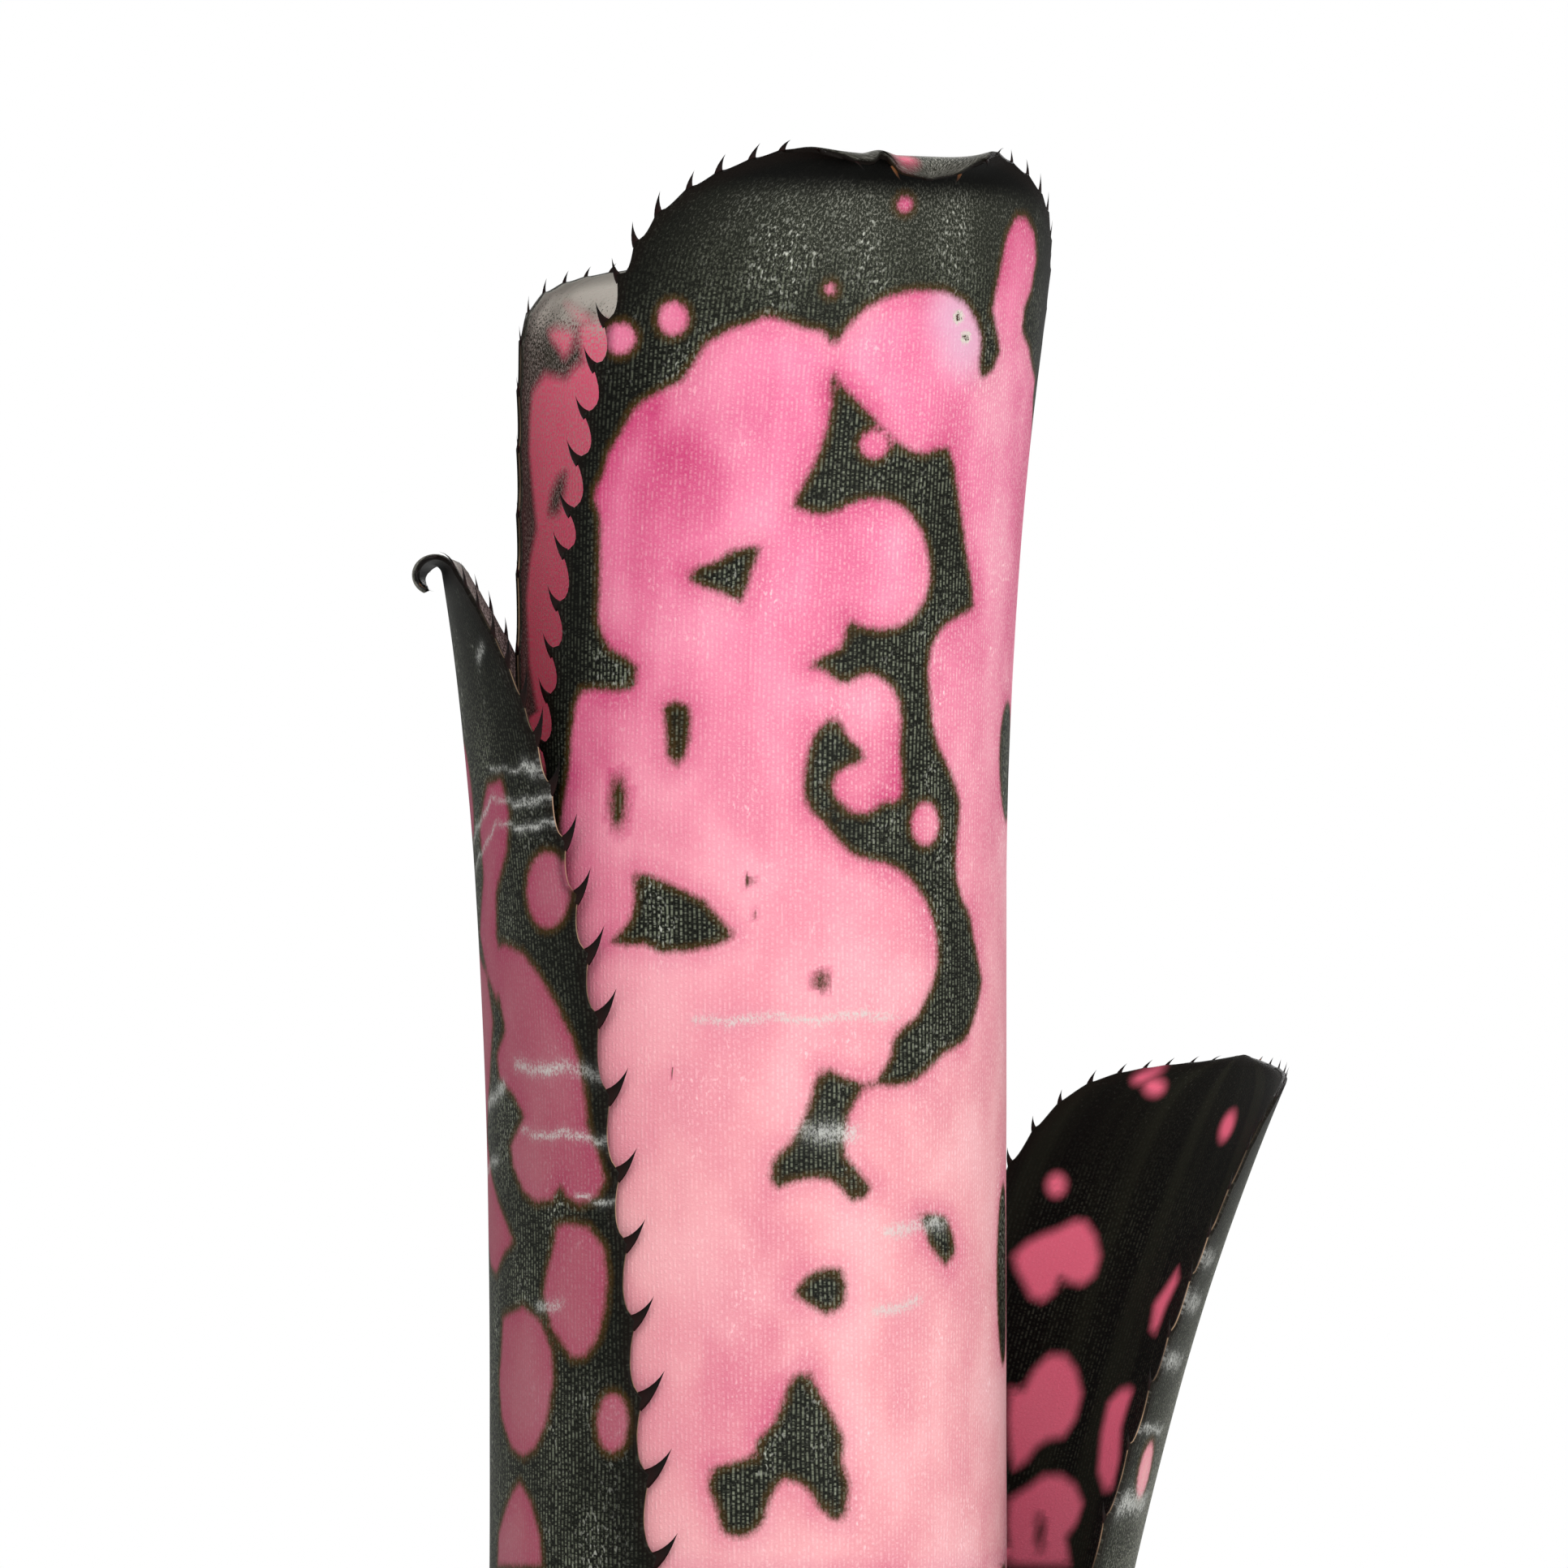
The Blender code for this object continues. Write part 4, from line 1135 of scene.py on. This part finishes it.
def stem_material(name, colours):
    """Cut stem: pale fibrous pith dotted with bundles, a brown rind and a scurfy side."""
    material, tree, shader = new_material(name)
    place = add_node(tree, "ShaderNodeTexCoord").outputs["Object"]
    x, y, height = separate(tree, place)
    across = (x * x + y * y).math("SQRT")
    bundles = add_node(tree, "ShaderNodeTexVoronoi", {"Vector": place, "Scale": 620.0})
    dots = Field(tree, bundles.outputs["Distance"]).step(0.42, 0.15)
    grain = noise(tree, place, 900.0, 4.0, 0.6)
    pith = mix_colour(tree, dots * 0.7, colours.pith, colours.pith_bundle)
    pith = mix_colour(tree, (grain - 0.35) * 0.8, pith, colours.rind)
    pith = mix_colour(tree, (across + (grain - 0.5) * 0.002).step(0.0145, 0.0162), pith,
                      colours.rind)
    fibres = noise(tree, combine(tree, x * 1400.0, y * 1400.0, height * 90.0), 1.0, 3.0, 0.6)
    side = mix_colour(tree, fibres.step(0.35, 0.65), colours.rind, colours.sheath)
    skin = mix_colour(tree, (height * 1000.0).step(0.2, 0.5), pith, side)
    tree.links.new(skin, shader.inputs["Base Color"])
    shader.inputs["Roughness"].default_value = 0.8
    bump = add_node(tree, "ShaderNodeBump", {"Strength": 0.6, "Distance": 0.0003})
    feed(tree, bump.inputs["Height"], dots * 0.6 + grain + fibres * 0.5)
    tree.links.new(bump.outputs[0], shader.inputs["Normal"])
    return material


def floor_material(name, colours):
    """Matte pale floor with a faint mottling."""
    material, tree, shader = new_material(name)
    place = add_node(tree, "ShaderNodeTexCoord").outputs["Object"]
    mottle = noise(tree, place, 6.0, 4.0, 0.5)
    skin = mix_colour(tree, mottle.step(0.3, 0.7), colours.floor, colours.floor_shade)
    tree.links.new(skin, shader.inputs["Base Color"])
    shader.inputs["Roughness"].default_value = 0.85
    return material


def dress_leaf(leaf, tree, scene):
    """Build one leaf, turn it into a plain mesh and let it stand for its CAD node."""
    blades, spines, colours = scene.bromeliad_blades, scene.bromeliad_spines, scene.bromeliad_colours
    base, tube = outer_radii(leaf)
    values = {
        "Azimuth": math.radians(leaf.azimuth),
        "Length": leaf.length,
        "Base Radius": base,
        "Tube Radius": tube,
        "Swell Height": SWELL_HEIGHT,
        "Free Height": leaf.free_height,
        "Lean": leaf.lean,
        "Lean Power": leaf.lean_power,
        "Flare": leaf.flare,
        "Flare Height": leaf.flare_height if leaf.flare else 0.0,
        "Curl Centre": leaf.curl_centre,
        "Curl Length": leaf.curl_length,
        "Curl Radius": leaf.curl_radius,
        "Curl Reach": leaf.curl_reach,
        "Fold": leaf.fold,
        "Unevenness": blades.unevenness,
        "Tip Spine Length": spines.tip_length,
        "Full Spine Length": spines.full_length * leaf.spine_share,
        "Spine Jitter": spines.jitter,
        "Seed": leaf.seed + spines.seed,
        "Leaf Material": shared_material("leaf_skin", leaf_material, colours, blades),
        "Spine Material": shared_material("spine_horn", spine_material, colours),
    }
    maker = bpy.data.objects.new(leaf.name, flat_leaf(leaf, blades))
    bpy.context.scene.collection.objects.link(maker)
    modifier = maker.modifiers.new("Rolled Leaf", "NODES")
    modifier.node_group = tree
    for item in tree.interface.items_tree:
        if item.in_out == "INPUT" and item.name in values:
            modifier[item.identifier] = values[item.name]
    bpy.context.view_layer.update()
    evaluated = maker.evaluated_get(bpy.context.evaluated_depsgraph_get())
    mesh = bpy.data.meshes.new_from_object(evaluated)
    maker.modifiers.remove(modifier)
    flat = maker.data
    maker.data = mesh
    bpy.data.meshes.remove(flat)
    drop_empty_slots(mesh)
    mesh.name = leaf.name + "_piece"
    maker.name = leaf.name + "_piece"
    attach(maker, "root")
    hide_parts(leaf.name)


def drop_empty_slots(mesh):
    """Take out the material slots that hold nothing, and keep every face's material."""
    slots = np.zeros(len(mesh.polygons), np.int32)
    mesh.polygons.foreach_get("material_index", slots)
    kept = [index for index, material in enumerate(mesh.materials) if material]
    materials = [mesh.materials[index] for index in kept]
    mesh.materials.clear()
    for material in materials:
        mesh.materials.append(material)
    mesh.polygons.foreach_set("material_index", np.searchsorted(kept, slots).astype(np.int32))


def shared_material(name, make, *settings):
    """The material of this name, made the first time it is asked for."""
    return bpy.data.materials.get(name) or make(name, *settings)


def dress_leaves(slot, scene):
    """Build every leaf that takes its finish from one material slot."""
    tree = bpy.data.node_groups.get("Rolled Leaf") or leaf_tree()
    for leaf in LEAVES:
        if leaf.slot == slot:
            dress_leaf(leaf, tree, scene)


def length(name, description, default):
    return FloatProperty(name=name, description=description, default=default, min=0.0,
                         unit="LENGTH", subtype="DISTANCE", precision=5)


def colour(name, description, default):
    """Colour property. Its default is written as a web colour and kept as linear light."""
    parts = [int(default[i:i + 2], 16) / 255 for i in (1, 3, 5)]
    linear = [part / 12.92 if part <= 0.04045 else ((part + 0.055) / 1.055) ** 2.4
              for part in parts]
    return FloatVectorProperty(name=name, description=description, default=(*linear, 1.0),
                               size=4, min=0.0, max=1.0, subtype="COLOR")


class BladeSettings(bpy.types.PropertyGroup):
    """Sizes of the leaf blades."""

    vein_pitch: length("Vein Pitch", "Distance between two rows of scales", 0.58 * MM)
    unevenness: length("Unevenness", "Height of the soft dents in a blade", 0.3 * MM)
    scallop_share: FloatProperty(name="Scallops", description="Depth of the scallops between "
                                 "spines, as a share of each leaf's own depth",
                                 default=1.0, min=0.0, max=2.0, subtype="FACTOR")


class SpineSettings(bpy.types.PropertyGroup):
    """Sizes of the edge spines."""

    tip_length: length("Tip Length", "Length of the smallest spines, at a leaf's tip", 1.3 * MM)
    full_length: length("Full Length", "Length of the spines lower down", 5.6 * MM)
    jitter: FloatProperty(name="Jitter", description="Share by which spines differ in size",
                          default=0.1, min=0.0, max=0.5, subtype="FACTOR")
    seed: IntProperty(name="Seed", description="Start of the random draws", default=40, min=0)


class ColourSettings(bpy.types.PropertyGroup):
    """Colours of the plant and of the floor."""

    dark: colour("Dark", "Near-black green ground of the leaves", "#030302")
    scales: colour("Scales", "Rows of scales on the dark ground", "#8E947F")
    stripe: colour("Inner Stripes", "Broad soft stripes on the inner face", "#23251A")
    # Painted shade colour for leaves turned away from the light.
    painted_shade: colour("Painted Shade", "Cast over the pink of the shaded leaves", "#84193F")
    # Painted highlight: colour of light catching the scales on the dark ground.
    painted_glint: colour("Bright Scales", "Brightest scales on the dark ground", "#C9CBBF")
    scurf: colour("Scurf", "Thick pale scales at tips and on some faces", "#BDBBB1")
    pink_low: colour("Pink, Low", "Blotches in the lower part of the plant", "#E29CA1")
    pink_high: colour("Pink, High", "Blotches near the tips", "#E4799E")
    pink_deep: colour("Deep Pink", "Clouds and borders inside the blotches", "#BE3D6E")
    # Pale scale streaks on the pink. The same colour also carries the painted highlights and the painted
    # lit side.
    pink_pale_and_highlight: colour("Pale Pink", "Streaks of scales on the blotches", "#FBD2D6")
    # Inner-face pink, made brighter as painted glow of light shining through the leaf.
    pink_inner_and_glow: colour("Inner Pink", "Blotches seen on the inner face", "#FF6E8F")
    fringe: colour("Fringe", "Olive line round the blotches", "#4A3410")
    sheath: colour("Sheath", "Paler foot of a leaf", "#8A8257")
    band: colour("Band", "Bands of white scales", "#C9CAC5")
    bruise: colour("Bruise", "Halo round a scar", "#CFAEC6")
    crust: colour("Crust", "Dry rim of a scar", "#D8CFC4")
    pit: colour("Pit", "Middle of a scar", "#3A1E18")
    # Painted highlight: colour of light catching the thin edge wall.
    rim: colour("Rim", "Thin highlit line along the edge", "#B3977A")
    rim_shade: colour("Rim Shade", "Brown cast beside the edge", "#150D09")
    spine_root: colour("Spine Root", "Root of a spine", "#1A0A08")
    spine_tip: colour("Spine Tip", "Point of a spine", "#080504")
    young_spine: colour("Young Spine", "Small spines at the tips", "#A2683A")
    pith: colour("Pith", "Cut face of the stem", "#CBB98A")
    pith_bundle: colour("Bundles", "Dots in the cut face", "#8C6E42")
    rind: colour("Rind", "Outer ring of the stem", "#6B4E2C")
    floor: colour("Floor", "Floor", "#F2F2F0")
    floor_shade: colour("Floor Mottling", "Faint patches on the floor", "#ECECEA")


class StageSettings(bpy.types.PropertyGroup):
    """Camera, floor and lights."""

    distance: length("Camera Distance", "From the camera to the plant's axis", 900 * MM)
    height: length("Camera Height", "Height of the camera", 285.5 * MM)
    aside: length("Camera Aside", "Sideways place of the camera", 3.7 * MM)
    view_width: length("View Width", "Width of the view at the plant's axis", 193.2 * MM)
    floor_radius: length("Floor Radius", "Radius of the round floor", 1600 * MM)
    ambient: FloatProperty(name="Ambient", description="Strength of the even light from all sides",
                           default=0.48, min=0.0)
    key_power: FloatProperty(name="Key Power", description="Power of the main softbox",
                             default=9.5, min=0.0, unit="POWER")
    fill_power: FloatProperty(name="Fill Power", description="Power of the second softbox",
                              default=10.0, min=0.0, unit="POWER")
    rim_power: FloatProperty(name="Rim Power", description="Power of the softbox behind",
                             default=8.0, min=0.0, unit="POWER")


class BROMELIAD_OT_blotched_leaves(bpy.types.Operator):
    """Build the tall leaves that are mostly pink"""

    bl_idname = "bromeliad.blotched_leaves"
    bl_label = "Pink-Blotched Leaves"

    def execute(self, context):
        dress_leaves(BLOTCHED, context.scene)
        return {"FINISHED"}


class BROMELIAD_OT_spotted_leaves(bpy.types.Operator):
    """Build the dark leaves with pink spots"""

    bl_idname = "bromeliad.spotted_leaves"
    bl_label = "Dark Spotted Leaves"

    def execute(self, context):
        dress_leaves(SPOTTED, context.scene)
        return {"FINISHED"}


class BROMELIAD_OT_stem(bpy.types.Operator):
    """Give the cut stem its finish"""

    bl_idname = "bromeliad.stem"
    bl_label = "Stem"

    def execute(self, context):
        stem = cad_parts["stem"]
        material = stem_material("cut_stem", context.scene.bromeliad_colours)
        for entry in stem.material_slots:
            entry.material = material
        return {"FINISHED"}


class BROMELIAD_OT_stage(bpy.types.Operator):
    """Set up the floor, the lights and the camera"""

    bl_idname = "bromeliad.stage"
    bl_label = "Stage"

    def execute(self, context):
        settings = context.scene.bromeliad_stage
        add_floor(settings, context.scene.bromeliad_colours)
        add_sky(settings)
        add_softbox("key", (0.95, -1.2, 0.55), 0.8, settings.key_power)
        add_softbox("fill", (-0.08, -1.2, 0.95), 1.0, settings.fill_power)
        add_softbox("rim", (0.3, 1.2, 0.9), 0.9, settings.rim_power)
        add_camera(settings)
        context.scene.view_settings.view_transform = "Standard"
        return {"FINISHED"}


def add_floor(settings, colours):
    ring = 128
    turns = np.linspace(0.0, math.tau, ring, endpoint=False)
    radius = settings.floor_radius
    points = [(radius * math.cos(turn), radius * math.sin(turn), 0.0) for turn in turns]
    mesh = bpy.data.meshes.new("floor")
    mesh.from_pydata(points, [], [list(range(ring))])
    mesh.materials.append(floor_material("floor", colours))
    floor = bpy.data.objects.new("floor", mesh)
    bpy.context.scene.collection.objects.link(floor)


def add_sky(settings):
    """Even white surroundings: the ambient share as light, and plain white to the eye."""
    sky = bpy.data.worlds.new("surroundings")
    sky.use_nodes = True
    tree = sky.node_tree
    light = tree.nodes["Background"]
    light.inputs["Color"].default_value = (1.0, 1.0, 1.0, 1.0)
    light.inputs["Strength"].default_value = settings.ambient
    white = add_node(tree, "ShaderNodeBackground", {"Color": (1.0, 1.0, 1.0, 1.0)})
    seen = add_node(tree, "ShaderNodeLightPath").outputs["Is Camera Ray"]
    mixed = add_node(tree, "ShaderNodeMixShader", {
        "Fac": seen, 1: light.outputs[0], 2: white.outputs[0],
    })
    tree.links.new(mixed.outputs[0], tree.nodes["World Output"].inputs["Surface"])
    bpy.context.scene.world = sky


def add_softbox(name, place, size, power):
    """Square area light aimed at the upper part of the plant."""
    lamp = bpy.data.lights.new(name, "AREA")
    lamp.size = size
    lamp.energy = power
    item = bpy.data.objects.new(name, lamp)
    item.location = place
    aim = [target - start for target, start in zip((0.0, 0.0, 0.25), place)]
    item.rotation_euler = Vector(aim).to_track_quat("-Z", "Y").to_euler()
    bpy.context.scene.collection.objects.link(item)


def add_camera(settings):
    lens = bpy.data.cameras.new("camera")
    lens.sensor_width = 36.0
    lens.lens = lens.sensor_width * settings.distance / settings.view_width
    lens.clip_start = 0.01
    item = bpy.data.objects.new("camera", lens)
    item.location = (settings.aside, -settings.distance, settings.height)
    item.rotation_euler = (math.radians(90.0), 0.0, 0.0)
    bpy.context.scene.collection.objects.link(item)
    bpy.context.scene.camera = item


class BROMELIAD_PT_build(bpy.types.Panel):
    """Sidebar panel with the settings and a button for each group of pieces"""

    bl_idname = "BROMELIAD_PT_build"
    bl_label = "Blotched Bromeliad"
    bl_space_type = "VIEW_3D"
    bl_region_type = "UI"
    bl_category = "Bromeliad"

    def draw(self, context):
        for title, group in SETTINGS.items():
            box = self.layout.box()
            box.label(text=title)
            settings = getattr(context.scene, group[0])
            for name in group[1].__annotations__:
                box.prop(settings, name)
        for operator in OPERATORS:
            self.layout.operator(operator.bl_idname)


SETTINGS = {
    "Blades": ("bromeliad_blades", BladeSettings),
    "Spines": ("bromeliad_spines", SpineSettings),
    "Colours": ("bromeliad_colours", ColourSettings),
    "Stage": ("bromeliad_stage", StageSettings),
}
OPERATORS = (
    BROMELIAD_OT_blotched_leaves,
    BROMELIAD_OT_spotted_leaves,
    BROMELIAD_OT_stem,
    BROMELIAD_OT_stage,
)


def register():
    for name, group in SETTINGS.values():
        bpy.utils.register_class(group)
        setattr(bpy.types.Scene, name, PointerProperty(type=group))
    for kind in (*OPERATORS, BROMELIAD_PT_build):
        bpy.utils.register_class(kind)


def unregister():
    for kind in (BROMELIAD_PT_build, *reversed(OPERATORS)):
        bpy.utils.unregister_class(kind)
    for name, group in SETTINGS.values():
        delattr(bpy.types.Scene, name)
        bpy.utils.unregister_class(group)


def main():
    register()
    bpy.ops.bromeliad.blotched_leaves()
    bpy.ops.bromeliad.spotted_leaves()
    bpy.ops.bromeliad.stem()
    bpy.ops.bromeliad.stage()


if __name__ == "__main__":
    main()
